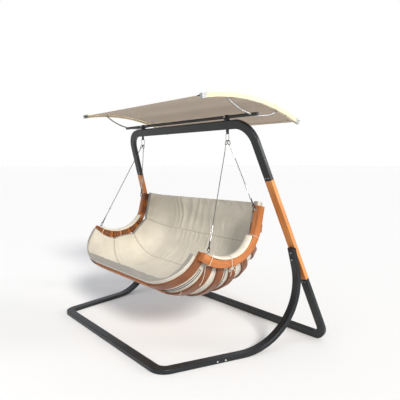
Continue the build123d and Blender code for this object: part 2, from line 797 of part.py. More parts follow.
def rope_frame(side, end):
    """Origin at the rope's foot in its eye, local z up along the rope, and the rope's length."""
    shift = -LOOP_APART if end == "front" else LOOP_APART
    top = Vector(side * HANG_HALF, HANG_Y + shift, CLIP_FLOOR_Z + LOOP_RISE)
    foot = eye_centre(side, end)
    axis = (top - foot).normalized()
    frame = Plane(origin=foot, x_dir=axis.cross(Vector(0, 1, 0)), z_dir=axis)
    return frame, (top - foot).length


def link(z0, z1, wide, wire):
    """A long closed link along local z, from z0 to z1 over its outside."""
    oval = SlotOverall(z1 - z0 - wire, wide - wire, rotation=90)
    plane = Plane(origin=(0, 0, (z0 + z1) / 2), x_dir=(1, 0, 0), z_dir=(0, -1, 0))
    path = plane * Wire(oval.edges())
    start = Plane(origin=path @ 0.1, z_dir=path % 0.1)
    return sweep(start * Circle(wire / 2), path=path)


def stick(z0, z1, diameter):
    return Pos(0, 0, z0) * Cylinder(
        diameter / 2, z1 - z0, align=(Align.CENTER, Align.CENTER, Align.MIN)
    )


def shackle(side, end):
    frame, _ = rope_frame(side, end)
    return frame * link(SHACKLE_START, SHACKLE_END, SHACKLE_WIDE, SHACKLE_WIRE)


SLEEVE_DIAMETER = 12.0
SLEEVE_LOW = SHACKLE_END - SHACKLE_WIRE - 5.0


def foot_sleeve(side, end):
    """A dark fork that closes over the upper bow of the shackle."""
    frame, _ = rope_frame(side, end)
    body = stick(SHACKLE_END - SHACKLE_WIRE - 10, FOOT_SLEEVE_END, SLEEVE_DIAMETER)
    body = chamfer(body.edges(), 2)
    bow = link(SHACKLE_START, SHACKLE_END, SHACKLE_WIDE, SHACKLE_WIRE + 0.4)
    return frame * (body - bow)


BUCKLE_WIDE = 18.0
BUCKLE_BOSS = 16.0


def turnbuckle(side, end):
    """An open-frame tightener: two end bosses joined by two side bars, a screw in each end."""
    frame, _ = rope_frame(side, end)
    z0, z1 = FOOT_SLEEVE_END, BUCKLE_END
    body = stick(z0, z0 + BUCKLE_BOSS, BUCKLE_WIDE) + stick(z1 - BUCKLE_BOSS, z1, BUCKLE_WIDE)
    for shift in (-1, 1):
        body += Pos(shift * (BUCKLE_WIDE / 2 - 2.5), 0, 0) * stick(z0 + 4, z1 - 4, 4.5)
    screws = stick(z0, z0 + 46, 7) + stick(z1 - 46, z1, 7)
    return frame * (body + screws)


def cable(side, end):
    """The steel rope: a plain length, then its loop in the snap hook."""
    frame, length = rope_frame(side, end)
    loop = link(length - TOP_LOOP, length + CABLE / 2, TOP_LOOP_WIDE, CABLE)
    return frame * (stick(BUCKLE_END, length - TOP_LOOP + 2, CABLE) + loop)


def top_sleeve(side, end):
    frame, length = rope_frame(side, end)
    z1 = length - TOP_LOOP - 0.3
    sleeve = stick(z1 - TOP_SLEEVE, z1, TOP_SLEEVE_DIAMETER)
    sleeve = chamfer(sleeve.edges(), 1.5)
    return frame * (sleeve - stick(0, length, CABLE + 0.1))


def crimp_tube(side):
    frame, length = rope_frame(side, "rear")
    z1 = length - TOP_LOOP - 0.3 - TOP_SLEEVE
    return frame * (stick(z1 - CRIMP_LENGTH, z1, CRIMP_DIAMETER) - stick(0, length, CABLE + 0.1))


# ---------------------------------------------------------------- canopy
CANOPY_TUBE = 30.0
CANOPY_WALL = 2.0
CANOPY_ARC_WIDE = 26.0
CANOPY_ARC_DEEP = 36.0
CANOPY_RADIUS = (CANOPY_HALF_CHORD**2 + CANOPY_SAGITTA**2) / (2 * CANOPY_SAGITTA)
CANOPY_CENTRE_H = CANOPY_CORNER_H + CANOPY_SAGITTA - CANOPY_RADIUS
FABRIC_THICK = 3.0
FABRIC_BELOW = 12.0     # the cloth is stretched between the arcs, this far below their top
FABRIC_INSET = 12.0     # and its free edges lie this far inside the ends of the arcs
STAY_ROD = 15.0
STAY_GAP = 2.0
STAY_X = CANOPY_ARC_X - CANOPY_ARC_WIDE / 2 - STAY_GAP - STAY_ROD / 2
STAY_BOLT = 6.0
STAY_PAD = 18.0
STAY_REACH = 318.0
STAY_RISE = 89.0
CAP_LENGTH = 46.0
CAP_WALL = 2.0
FABRIC_HALF = CANOPY_ARC_X - CANOPY_ARC_WIDE / 2 - CAP_WALL - 0.6
canopy_place = Pos(0, HANG_Y, CANOPY_Z) * Rot(CANOPY_TILT, 0, 0)


def canopy_point(x, radius, angle):
    """On a circle about the canopy's centre of curvature: angle in degrees, front negative."""
    a = math.radians(angle)
    return (x, radius * math.sin(a), CANOPY_CENTRE_H + radius * math.cos(a))


CANOPY_HALF_ANGLE = math.degrees(math.asin(CANOPY_HALF_CHORD / CANOPY_RADIUS))


def canopy_band(x0, x1, outer, inner, half_angle):
    """A curved band between two radii, from x0 to x1."""
    def corner(radius, angle):
        return canopy_point(x0, radius, angle)

    top = ThreePointArc(corner(outer, -half_angle), corner(outer, 0), corner(outer, half_angle))
    low = ThreePointArc(corner(inner, half_angle), corner(inner, 0), corner(inner, -half_angle))
    ends = [
        Line(corner(outer, half_angle), corner(inner, half_angle)),
        Line(corner(inner, -half_angle), corner(outer, -half_angle)),
    ]
    face = make_face([top, ends[0], low, ends[1]])
    return extrude(face, amount=x1 - x0, dir=(1, 0, 0))


ARC_INNER = CANOPY_RADIUS - CANOPY_ARC_DEEP


def canopy_arc(side):
    x = side * CANOPY_ARC_X
    half = CANOPY_ARC_WIDE / 2
    band = canopy_band(x - half, x + half, CANOPY_RADIUS, ARC_INNER, CANOPY_HALF_ANGLE)
    for y in (-1, 1):
        band -= stay_bolt_hole(side, y)
    return canopy_place * band


def stay_bolt_hole(side, y):
    start = (side * (STAY_X - STAY_ROD), y * STAY_REACH, STAY_RISE)
    end = (side * (CANOPY_ARC_X + CANOPY_ARC_WIDE), y * STAY_REACH, STAY_RISE)
    return rod(start, end, STAY_BOLT + 0.2)


def end_cap(side, y):
    """A bright metal shoe over the end of a canopy arc."""
    x = side * CANOPY_ARC_X
    half = CANOPY_ARC_WIDE / 2
    outer = canopy_band(
        x - half - CAP_WALL, x + half + CAP_WALL, CANOPY_RADIUS + CAP_WALL, ARC_INNER - 1.6,
        CANOPY_HALF_ANGLE + 0.15,
    )
    arc = canopy_band(
        x - half - 0.05, x + half + 0.05, CANOPY_RADIUS + 0.05, ARC_INNER - 0.05,
        CANOPY_HALF_ANGLE + 0.02,
    )
    reach = math.degrees(CAP_LENGTH / CANOPY_RADIUS)
    keep_from = CANOPY_RADIUS * math.sin(math.radians(CANOPY_HALF_ANGLE - reach))
    keep = Box(400, 400, 800, align=(Align.CENTER, Align.MIN, Align.CENTER))
    if y < 0:
        keep = Box(400, 400, 800, align=(Align.CENTER, Align.MAX, Align.CENTER))
    return canopy_place * ((outer - arc) & (Pos(x, y * keep_from, 0) * keep))


def canopy_fabric():
    outer = CANOPY_RADIUS - FABRIC_BELOW
    inset = math.degrees(FABRIC_INSET / CANOPY_RADIUS)
    sheet = canopy_band(
        -FABRIC_HALF, FABRIC_HALF, outer, outer - FABRIC_THICK, CANOPY_HALF_ANGLE - inset
    )
    for y in (-1, 1):
        py, pz = edge_line(y)
        for side in SIDES.values():
            notch = Box(2 * (FABRIC_HALF - EDGE_CORD_HALF) + 8, 18, 60)
            sheet -= Pos(side * FABRIC_HALF, py, pz) * notch
    return canopy_place * sheet


EDGE_CORD = 5.0
TENSIONER_LENGTH = 46.0
EDGE_CORD_HALF = CANOPY_ARC_X - CANOPY_ARC_WIDE / 2 - CAP_WALL - TENSIONER_LENGTH


def edge_line(y):
    """Where the cord runs, just outside the front or rear edge of the fabric."""
    radius = CANOPY_RADIUS - FABRIC_BELOW - FABRIC_THICK / 2
    inset = math.degrees((FABRIC_INSET - EDGE_CORD / 2 - 0.3) / CANOPY_RADIUS)
    _, py, pz = canopy_point(0, radius, y * (CANOPY_HALF_ANGLE - inset))
    return py, pz


def edge_cord(y):
    py, pz = edge_line(y)
    return canopy_place * rod((-EDGE_CORD_HALF, py, pz), (EDGE_CORD_HALF, py, pz), EDGE_CORD)


def tensioner(side, y):
    """A dark tapered end piece that ties an edge cord to the shoe of the arc."""
    py, pz = edge_line(y)
    x = side * EDGE_CORD_HALF
    cone = Cone(4, 7.5, TENSIONER_LENGTH - 12, align=(Align.CENTER, Align.CENTER, Align.MIN))
    barrel = Pos(0, 0, TENSIONER_LENGTH - 12) * Cylinder(
        7.5, 12 - 0.1, align=(Align.CENTER, Align.CENTER, Align.MIN)
    )
    return canopy_place * (Pos(x, py, pz) * (Rot(0, 90 * side, 0) * (cone + barrel)))


def stay_arc(side):
    """A bright rod, bowed downward, that ties a timber arc to the beam."""
    x = side * STAY_X
    path = ThreePointArc((x, -STAY_REACH, STAY_RISE), (x, 0, 0), (x, STAY_REACH, STAY_RISE))
    start = Plane(origin=path @ 0, z_dir=path % 0)
    bar = sweep(start * Circle(STAY_ROD / 2), path=path)
    for y in (-1, 1):
        pad = Pos(x, y * STAY_REACH, STAY_RISE) * (Rot(0, 90, 0) * Cylinder(STAY_PAD / 2, STAY_ROD))
        bar += pad
        bar -= stay_bolt_hole(side, y)
    return canopy_place * bar


def stay_bolt(side, y):
    face = side * (STAY_X - STAY_ROD / 2)
    frame = Pos(face, y * STAY_REACH, STAY_RISE) * Rot(0, -90 * side, 0)
    head = dome_head(14, 4)
    shank = Cylinder(STAY_BOLT / 2, CANOPY_ARC_WIDE + 6, align=(Align.CENTER, Align.CENTER, Align.MAX))
    return canopy_place * (frame * (head + shank))


def canopy_beam():
    tube = Rot(0, 90, 0) * Cylinder(CANOPY_TUBE / 2, 2 * CANOPY_BEAM_HALF)
    bore = Rot(0, 90, 0) * Cylinder(CANOPY_TUBE / 2 - CANOPY_WALL, 2 * CANOPY_BEAM_HALF)
    tube -= bore
    for side in SIDES.values():
        x = side * STAY_X
        tube -= rod((x, -40, 0.8), (x, 40, 0.8), STAY_ROD + 2.4)
    return canopy_place * tube


def beam_cap(side):
    plug = stick(0, 8, CANOPY_TUBE - 2 * CANOPY_WALL - 0.2)
    lip = Pos(0, 0, 8) * Cylinder(
        CANOPY_TUBE / 2, 4, align=(Align.CENTER, Align.CENTER, Align.MIN)
    )
    lip = fillet(lip.edges().group_by(Axis.Z)[-1], 2)
    frame = Pos(side * (CANOPY_BEAM_HALF - 8), 0, 0) * Rot(0, 90 * side, 0)
    return canopy_place * (frame * (plug + lip))


CLAMP_X = 719.0
CLAMP_WIDE = 36.0
CLAMP_WALL = 5.0
CLAMP_CLEAR = 0.1


def canopy_clamp(side):
    """A saddle on top of the crossbeam with a round collar for the canopy beam."""
    collar = Rot(0, 90, 0) * Cylinder(CANOPY_TUBE / 2 + CLAMP_WALL, CLAMP_WIDE)
    foot = Pos(0, 0, -CANOPY_TUBE / 2) * Box(
        CLAMP_WIDE, 34, 44, align=(Align.CENTER, Align.CENTER, Align.MAX)
    )
    bore = Rot(0, 90, 0) * Cylinder(CANOPY_TUBE / 2 + CLAMP_CLEAR, 2 * CLAMP_WIDE)
    placed = Pos(side * CLAMP_X, HANG_Y, CANOPY_Z) * (collar + foot - bore)
    beam = LOOP_PLANE * Box(4 * BEAM_HALF, TUBE_WIDE, TUBE_DEEP)
    screw = clamp_screw_hole(side)
    return placed - beam - screw


def clamp_screw_hole(side):
    x = side * CLAMP_X
    return rod((x, HANG_Y - 60, CANOPY_Z - 1), (x, HANG_Y - CANOPY_TUBE / 2, CANOPY_Z - 1), 6.1)


def clamp_screw(side):
    """A grub screw with a small round knob that locks the canopy beam."""
    x = side * CLAMP_X
    z = CANOPY_Z - 1
    tip = HANG_Y - CANOPY_TUBE / 2 - 0.4
    shank = rod((x, tip - 14, z), (x, tip, z), 6)
    knob = rod((x, tip - 22, z), (x, tip - 10, z), 16)
    knob = fillet(knob.edges(), 2)
    return shank + knob


# ---------------------------------------------------------------- write the pieces
for name, side in SIDES.items():
    save(f"post_{name}", post(side) - lag_holes(side))
    save(f"side_sweep_{name}", side_sweep(side) - lag_holes(side) - rail_holes(side))
    save(f"side_arc_{name}", side_arc(side))
    save(f"arm_pad_{name}", arm_pad(side))
    save(f"pad_ties_{name}", group(pad_tie(side, s) for s in TIE_STATIONS))
    save(f"slat_screws_{name}", group(slat_screws(side)))
    save(f"snap_hook_{name}", snap_hook(side))
    save(f"snap_gate_{name}", snap_gate(side))
    save(f"canopy_arc_{name}", canopy_arc(side))
    for end in EYE_STATIONS:
        save(f"cable_{end}_{name}", cable(side, end))

ROPES = [(side, end) for side in SIDES.values() for end in EYE_STATIONS]
ENDS = [(side, y) for side in SIDES.values() for y in (-1, 1)]
for index in range(SLAT_COUNT):
    save(f"slat_{index + 1}", slat(index))
ALL_SCREW_HOLES = post_screw_holes(-1) + post_screw_holes(1)
ALL_RAIL_HOLES = rail_holes(-1) + rail_holes(1)
save("top_arch", top_arch() - ALL_SCREW_HOLES)
save("rear_base", rear_base() - ALL_SCREW_HOLES)
save("front_base", front_base() - ALL_RAIL_HOLES)
save("post_tenons", group(
    tenon(side, v, up) - post_screw_holes(side)
    for side in SIDES.values() for v, up in ((POST_TOP_V, 1), (POST_BOTTOM_V, -1))
))
save("sweep_caps", group(sweep_cap(side) for side in SIDES.values()))
save("rail_sleeves", group(rail_sleeve(side) - rail_holes(side) for side in SIDES.values()))
save("seat_cushion", seat_cushion())
save("eye_bolts", group(eye_bolt(*rope) for rope in ROPES))
save("shackles", group(shackle(*rope) for rope in ROPES))
save("foot_sleeves", group(foot_sleeve(*rope) for rope in ROPES))
save("top_sleeves", group(top_sleeve(*rope) for rope in ROPES))
save("crimp_tubes", group(crimp_tube(side) for side in SIDES.values()))
save("canopy_beam", canopy_beam())
save("beam_caps", group(beam_cap(side) for side in SIDES.values()))
save("canopy_fabric", canopy_fabric())
save("arc_end_caps", group(end_cap(*corner) for corner in ENDS))
save("tensioners", group(tensioner(*corner) for corner in ENDS))
save("stay_bolts", group(stay_bolt(*corner) for corner in ENDS))
save("edge_cords", group(edge_cord(y) for y in (-1, 1)))
save("stay_arcs", group(stay_arc(side) for side in SIDES.values()))
save("canopy_clamps", group(canopy_clamp(side) for side in SIDES.values()))
save("hang_lugs", group(hang_lug(side) for side in SIDES.values()))
save("turnbuckles", group(turnbuckle(*rope) for rope in ROPES))
save("frame_bolts", group(frame_bolts()))
save("post_screws", group(post_screws()))
for name in TIE_END_ROUTES:
    save(name, tie_end(name))
save("clamp_screws", group(clamp_screw(side) for side in SIDES.values()))
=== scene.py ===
"""Canopy swing bench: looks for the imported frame.  Metres, +Z up, -Y is the front."""
import math

import bpy
from mathutils import Matrix, Vector, noise


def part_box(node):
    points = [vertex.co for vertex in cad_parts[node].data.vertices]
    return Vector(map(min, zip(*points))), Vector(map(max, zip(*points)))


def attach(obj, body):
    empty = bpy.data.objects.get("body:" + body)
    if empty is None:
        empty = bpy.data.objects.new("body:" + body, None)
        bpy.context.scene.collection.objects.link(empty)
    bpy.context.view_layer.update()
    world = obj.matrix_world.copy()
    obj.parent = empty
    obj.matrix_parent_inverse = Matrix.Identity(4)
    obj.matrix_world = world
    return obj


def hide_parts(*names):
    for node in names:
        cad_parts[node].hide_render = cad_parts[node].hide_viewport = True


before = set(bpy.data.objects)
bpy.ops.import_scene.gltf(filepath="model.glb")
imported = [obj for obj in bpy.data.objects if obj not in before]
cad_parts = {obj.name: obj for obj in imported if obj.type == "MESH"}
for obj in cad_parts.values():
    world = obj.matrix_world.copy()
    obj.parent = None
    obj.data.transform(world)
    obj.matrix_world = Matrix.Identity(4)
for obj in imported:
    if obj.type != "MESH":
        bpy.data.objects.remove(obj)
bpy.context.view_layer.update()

# ---------------------------------------------------------------- driving values
HANG_Y = 0.0985         # the axis that the seat hangs from
ARC_X = 0.975           # middle of each side arc
ARC_WIDE = 0.060
ARC_DEEP = 0.072
SHOULDER_RADIUS = 0.260  # a slat's bend next to the arc, then the wider bend below it
HIP_RADIUS = 0.550
HALF_TURN = math.sqrt(0.5)
FULL_DROP = HIP_RADIUS - (HIP_RADIUS - SHOULDER_RADIUS) * HALF_TURN
SLAT_THICK = 0.018
SLAT_FIRST = 0.021       # the first slat's station along the side arc
SLAT_PITCH = 0.120
TAB_X = ARC_X - ARC_WIDE / 2    # the arcs' inner faces, where the slats end
TAPER_START = 0.440      # from here up the back the bowl grows shallower
TAPER_EASE = 0.120
TAPER = 0.33             # loss of depth per length of arc
CUSHION_GAP = 0.001
CUSHION_THICK = 0.060
PAD_GAP = 0.0012
PAD_THICK = 0.022

# The side arc's middle line: front tip, heading, two bends and a straight end.
ARC_TIP = (-0.497, 0.902)
TIP_HEADING = math.radians(-38)
LOW_RADIUS = 0.440
LOW_TURN = math.radians(53)
BACK_RADIUS = 0.340
BACK_TURN = math.radians(62)
BACK_STRAIGHT = 0.200
LOW_LENGTH = LOW_RADIUS * LOW_TURN
BACK_LENGTH = BACK_RADIUS * BACK_TURN
ARC_LENGTH = LOW_LENGTH + BACK_LENGTH + BACK_STRAIGHT
UNDER = ARC_DEEP / 2      # the arcs' under side, measured from their middle line

SEAT = "seat_swing"
CANOPY = "canopy"
SIDES = {"left": -1, "right": 1}


# ---------------------------------------------------------------- camera
camera = bpy.data.objects.new("camera", bpy.data.cameras.new("camera"))
bpy.context.collection.objects.link(camera)
camera.location = (3.737, -2.6254, 1.677)
camera.rotation_euler = (math.radians(84.94), 0, math.radians(51.35))
camera.data.lens = 39.9
camera.data.sensor_width = 36
bpy.context.scene.camera = camera
bpy.context.scene.view_settings.view_transform = "Standard"


# ---------------------------------------------------------------- node helpers
def new_material(name, roughness=0.5, metallic=0.0):
    material = bpy.data.materials.new(name)
    material.use_nodes = True
    shader = material.node_tree.nodes["Principled BSDF"]
    shader.inputs["Roughness"].default_value = roughness
    shader.inputs["Metallic"].default_value = metallic
    return material, material.node_tree, shader


def put(tree, socket, value):
    if isinstance(value, bpy.types.NodeSocket):
        tree.links.new(value, socket)
    else:
        socket.default_value = value


def calc(tree, operation, *values):
    """A Math node."""
    node = tree.nodes.new("ShaderNodeMath")
    node.operation = operation
    for socket, value in zip(node.inputs, values):
        put(tree, socket, value)
    return node.outputs[0]


def position(tree):
    """The point's place in the row frame at rest, split into x, y and z."""
    coords = tree.nodes.new("ShaderNodeTexCoord")
    split = tree.nodes.new("ShaderNodeSeparateXYZ")
    tree.links.new(coords.outputs["Object"], split.inputs[0])
    return split.outputs[0], split.outputs[1], split.outputs[2]


def join(tree, x, y, z):
    node = tree.nodes.new("ShaderNodeCombineXYZ")
    for socket, value in zip(node.inputs, (x, y, z)):
        put(tree, socket, value)
    return node.outputs[0]


def scaled(tree, point, scales):
    """The point with each of its coordinates stretched by its own scale."""
    return join(tree, *[calc(tree, "MULTIPLY", value, scale) for value, scale in zip(point, scales)])


def noise_at(tree, vector, scale, detail=3.0, rough=0.55):
    node = tree.nodes.new("ShaderNodeTexNoise")
    node.inputs["Scale"].default_value = scale
    node.inputs["Detail"].default_value = detail
    node.inputs["Roughness"].default_value = rough
    if vector is not None:
        tree.links.new(vector, node.inputs["Vector"])
    return node.outputs["Fac"]


def ramp(tree, factor, stops):
    """stops: (position, colour) pairs."""
    node = tree.nodes.new("ShaderNodeValToRGB")
    band = node.color_ramp
    while len(band.elements) < len(stops):
        band.elements.new(0.5)
    for element, (place, colour) in zip(band.elements, stops):
        element.position = place
        element.color = (*colour, 1)
    tree.links.new(factor, node.inputs[0])
    return node.outputs[0]


def mix_colour(tree, factor, a, b, blend="MIX"):
    node = tree.nodes.new("ShaderNodeMix")
    node.data_type = "RGBA"
    node.blend_type = blend
    put(tree, node.inputs[0], factor)
    put(tree, node.inputs[6], a)
    put(tree, node.inputs[7], b)
    return node.outputs[2]


def add_bump(tree, shader, height, strength, distance):
    node = tree.nodes.new("ShaderNodeBump")
    node.inputs["Strength"].default_value = strength
    node.inputs["Distance"].default_value = distance
    tree.links.new(height, node.inputs["Height"])
    tree.links.new(node.outputs[0], shader.inputs["Normal"])


def seat_coords(tree):
    """The seat's own coordinates of a point: along the side arc, outward, and across."""
    x, y, z = position(tree)
    y = calc(tree, "SUBTRACT", y, HANG_Y)

    def polar(centre, radius, heading, before):
        dy = calc(tree, "SUBTRACT", y, centre[0])
        dz = calc(tree, "SUBTRACT", z, centre[1])
        out = calc(tree, "SUBTRACT", calc(tree, "SQRT", calc(
            tree, "ADD", calc(tree, "MULTIPLY", dy, dy), calc(tree, "MULTIPLY", dz, dz)
        )), radius)
        # The heading at a point is its bearing from the centre plus a quarter turn.
        bearing = calc(tree, "ARCTAN2", dy, calc(tree, "MULTIPLY", dz, -1.0))
        along = calc(tree, "MULTIPLY_ADD", calc(tree, "SUBTRACT", bearing, heading), radius, before)
        return along, out

    def centre_of(point, heading, radius):
        return (point[0] - radius * math.sin(heading), point[1] + radius * math.cos(heading))

    low_end, back_start = station(LOW_LENGTH)
    back_end, last = station(LOW_LENGTH + BACK_LENGTH)
    along_low, out_low = polar(centre_of(ARC_TIP, TIP_HEADING, LOW_RADIUS), LOW_RADIUS, TIP_HEADING, 0)
    along_back, out_back = polar(
        centre_of(low_end, back_start, BACK_RADIUS), BACK_RADIUS, back_start, LOW_LENGTH
    )
    dy = calc(tree, "SUBTRACT", y, back_end[0])
    dz = calc(tree, "SUBTRACT", z, back_end[1])
    along_top = calc(tree, "MULTIPLY_ADD", dy, math.cos(last), calc(
        tree, "MULTIPLY_ADD", dz, math.sin(last), LOW_LENGTH + BACK_LENGTH
    ))
    out_top = calc(tree, "MULTIPLY_ADD", dy, math.sin(last), calc(
        tree, "MULTIPLY", dz, -math.cos(last)
    ))
    past_low = calc(tree, "GREATER_THAN", along_low, LOW_LENGTH)
    past_back = calc(tree, "GREATER_THAN", along_top, LOW_LENGTH + BACK_LENGTH)

    def choose(low, back, top):
        first = calc(tree, "MULTIPLY_ADD", past_low, calc(tree, "SUBTRACT", back, low), low)
        return calc(tree, "MULTIPLY_ADD", past_back, calc(tree, "SUBTRACT", top, first), first)

    return choose(along_low, along_back, along_top), choose(out_low, out_back, out_top), x


# ---------------------------------------------------------------- seat curve
def station(s):
    """Point (y, z) and heading of the side arc's middle line at length s from its tip."""
    def bend(point, heading, radius, length):
        turn = length / radius
        chord = 2 * radius * math.sin(turn / 2)
        way = heading + turn / 2
        return (point[0] + chord * math.cos(way), point[1] + chord * math.sin(way)), heading + turn

    def straight(point, heading, length):
        return (point[0] + length * math.cos(heading), point[1] + length * math.sin(heading)), heading

    if s <= 0:
        return straight(ARC_TIP, TIP_HEADING, s)
    if s <= LOW_LENGTH:
        return bend(ARC_TIP, TIP_HEADING, LOW_RADIUS, s)
    point, heading = bend(ARC_TIP, TIP_HEADING, LOW_RADIUS, LOW_LENGTH)
    s -= LOW_LENGTH
    if s <= BACK_LENGTH:
        return bend(point, heading, BACK_RADIUS, s)
    point, heading = bend(point, heading, BACK_RADIUS, BACK_LENGTH)
    return straight(point, heading, s - BACK_LENGTH)


def seat_point(s, out=0.0, x=0.0):
    (y, z), heading = station(s)
    return Vector((x, HANG_Y + y + out * math.sin(heading), z - out * math.cos(heading)))


# ---------------------------------------------------------------- mesh helpers
def mesh_object(name, points, faces, material, smooth=True):
    mesh = bpy.data.meshes.new(name)
    mesh.from_pydata(points, [], faces)
    mesh.update()
    mesh.materials.append(material)
    mesh.polygons.foreach_set("use_smooth", [smooth] * len(mesh.polygons))
    thing = bpy.data.objects.new(name, mesh)
    bpy.context.collection.objects.link(thing)
    return thing


def box_grid(counts, place):
    """The skin of a block of cells.  place(a, b, c) takes 0 to 1 on each axis."""
    na, nb, nc = counts
    index = {}
    points = []

    def vertex(i, j, k):
        key = (i, j, k)
        if key not in index:
            index[key] = len(points)
            points.append(place(i / na, j / nb, k / nc))
        return index[key]

    faces = []
    for i in range(na):
        for j in range(nb):
            for k, flip in ((0, False), (nc, True)):
                quad = [vertex(i, j, k), vertex(i, j + 1, k), vertex(i + 1, j + 1, k), vertex(i + 1, j, k)]
                faces.append(quad[::-1] if flip else quad)
    for i in range(na):
        for k in range(nc):
            for j, flip in ((0, True), (nb, False)):
                quad = [vertex(i, j, k), vertex(i, j, k + 1), vertex(i + 1, j, k + 1), vertex(i + 1, j, k)]
                faces.append(quad[::-1] if flip else quad)
    for j in range(nb):
        for k in range(nc):
            for i, flip in ((0, False), (na, True)):
                quad = [vertex(i, j, k), vertex(i, j, k + 1), vertex(i, j + 1, k + 1), vertex(i, j + 1, k)]
                faces.append(quad[::-1] if flip else quad)
    return points, faces, index


def tube_along(name, points, diameter, material, cyclic=False, order=3):
    """A round cord on a smooth spline through the list of control points."""
    curve = bpy.data.curves.new(name, "CURVE")
    curve.dimensions = "3D"
    spline = curve.splines.new("NURBS")
    spline.points.add(len(points) - 1)
    for target, point in zip(spline.points, points):
        target.co = (*point, 1)
    spline.order_u = order
    spline.use_endpoint_u = not cyclic
    spline.use_cyclic_u = cyclic
    spline.resolution_u = 6
    curve.bevel_depth = diameter / 2
    curve.bevel_resolution = 3
    curve.use_fill_caps = True
    curve.materials.append(material)
    thing = bpy.data.objects.new(name, curve)
    bpy.context.collection.objects.link(thing)
    return thing


def subdivide(thing, levels=1):
    modifier = thing.modifiers.new("subdivision", "SUBSURF")
    modifier.levels = levels
    modifier.render_levels = levels
    bake(thing)


def bake(thing):
    """Turn the object's modifiers into plain mesh."""
    bpy.context.view_layer.update()
    graph = bpy.context.evaluated_depsgraph_get()
    mesh = bpy.data.meshes.new_from_object(thing.evaluated_get(graph))
    thing.modifiers.clear()
    old = thing.data
    thing.data = mesh
    bpy.data.meshes.remove(old)


def puff(thing, pinned, frames, pressure, growth, cap):
    """Cloth simulation: the free cloth swells between its pinned seams and walls."""
    start = [v.co.copy() for v in thing.data.vertices]
    pins = thing.vertex_groups.new(name="pins")
    pins.add(pinned, 1.0, "REPLACE")
    cloth = thing.modifiers.new("cloth", "CLOTH")
    settings = cloth.settings
    settings.quality = 5
    settings.mass = 0.3
    settings.tension_stiffness = 18
    settings.compression_stiffness = 12
    settings.shear_stiffness = 5
    settings.bending_stiffness = 0.6
    settings.air_damping = 3
    settings.use_pressure = True
    settings.uniform_pressure_force = pressure
    settings.shrink_min = -growth
    settings.vertex_group_mass = "pins"
    settings.effector_weights.gravity = 0
    cloth.collision_settings.use_collision = False
    cloth.collision_settings.use_self_collision = False
    cloth.point_cache.frame_start = 1
    cloth.point_cache.frame_end = frames
    scene = bpy.context.scene
    for step in range(1, frames + 1):
        scene.frame_set(step)
    bake(thing)
    for vertex, origin in zip(thing.data.vertices, start):
        moved = vertex.co - origin
        if moved.length > cap:
            vertex.co = origin + moved * (cap / moved.length)
    thing.data.update()
    scene.frame_set(1)


# ---------------------------------------------------------------- materials
LEG_LEAN = math.radians(19.3)
LEG_SPLAY = 0.17         # how far a leg spreads sideways per unit of height
CANOPY_CURVE = 0.27      # the canopy arcs drop by this much times their reach squared
GLUE_HALF = 0.08         # half of a glue line, as a share of one layer
GLUE_STRENGTH = 0.65


def cloth_material(name, colour, weave=0.0011, shade=0.10, mottled=5.0):
    """A plain woven cloth: fine over-and-under weave, soft sheen, uneven tone."""
    material, tree, shader = new_material(name, roughness=0.88)
    x, y, z = position(tree)
    turn = 2 * math.pi / weave
    across = calc(tree, "SINE", calc(tree, "MULTIPLY", calc(tree, "ADD", x, z), turn))
    along = calc(tree, "SINE", calc(tree, "MULTIPLY", calc(tree, "ADD", y, z), turn))
    threads = calc(tree, "MULTIPLY", across, along)
    cloudy = noise_at(tree, None, mottled, 5.0, 0.6)
    slub = noise_at(tree, scaled(tree, (x, y, z), (60.0, 420.0, 420.0)), 1.0, 2.0)
    tone = calc(tree, "MULTIPLY_ADD", slub, 0.35, calc(tree, "MULTIPLY", cloudy, 0.65))
    dark = tuple(c * (1 - shade) for c in colour)
    light = tuple(min(1.0, c * (1 + shade)) for c in colour)
    tree.links.new(ramp(tree, tone, [(0.36, dark), (0.64, light)]), shader.inputs["Base Color"])
    height = calc(tree, "MULTIPLY_ADD", slub, 0.8, threads)
    add_bump(tree, shader, height, 0.25, 0.0003)
    shader.inputs["Sheen Weight"].default_value = 0.15
    shader.inputs["Sheen Roughness"].default_value = 0.6
    shader.inputs["Specular IOR Level"].default_value = 0.2
    return material


def wood_material(name, coords, dark, mid, light, layer, roughness=0.42):
    """Laminated timber.  coords(tree) gives along the grain, through the layers and across."""
    material, tree, shader = new_material(name, roughness=roughness)
    along, through, across = coords(tree)
    grain = (along, through, across)
    figure = noise_at(tree, scaled(tree, grain, (5.0, 90.0, 90.0)), 1.0, 4.0, 0.6)
    pores = noise_at(tree, scaled(tree, grain, (22.0, 600.0, 600.0)), 1.0, 2.0, 0.5)
    broad = noise_at(tree, scaled(tree, grain, (2.2, 12.0, 12.0)), 1.0, 2.0)
    tone = calc(tree, "MULTIPLY_ADD", broad, 0.35, calc(tree, "MULTIPLY_ADD", figure, 0.40, calc(
        tree, "MULTIPLY", pores, 0.25
    )))
    colour = ramp(tree, tone, [(0.34, dark), (0.50, mid), (0.66, light)])
    # Glue lines between the layers: narrow dark bands.
    phase = calc(tree, "FRACT", calc(tree, "DIVIDE", calc(tree, "ADD", through, 1.0), layer))
    line = calc(tree, "LESS_THAN", calc(tree, "ABSOLUTE", calc(tree, "SUBTRACT", phase, 0.5)), GLUE_HALF)
    glue = calc(tree, "MULTIPLY", line, GLUE_STRENGTH)
    colour = mix_colour(tree, glue, colour, (*[c * 0.35 for c in dark], 1))
    tree.links.new(colour, shader.inputs["Base Color"])
    tree.links.new(calc(tree, "MULTIPLY_ADD", pores, 0.25, roughness - 0.12), shader.inputs["Roughness"])
    add_bump(tree, shader, calc(tree, "MULTIPLY_ADD", line, -0.6, pores), 0.35, 0.0004)
    shader.inputs["Coat Weight"].default_value = 0.12
    shader.inputs["Coat Roughness"].default_value = 0.35
    return material


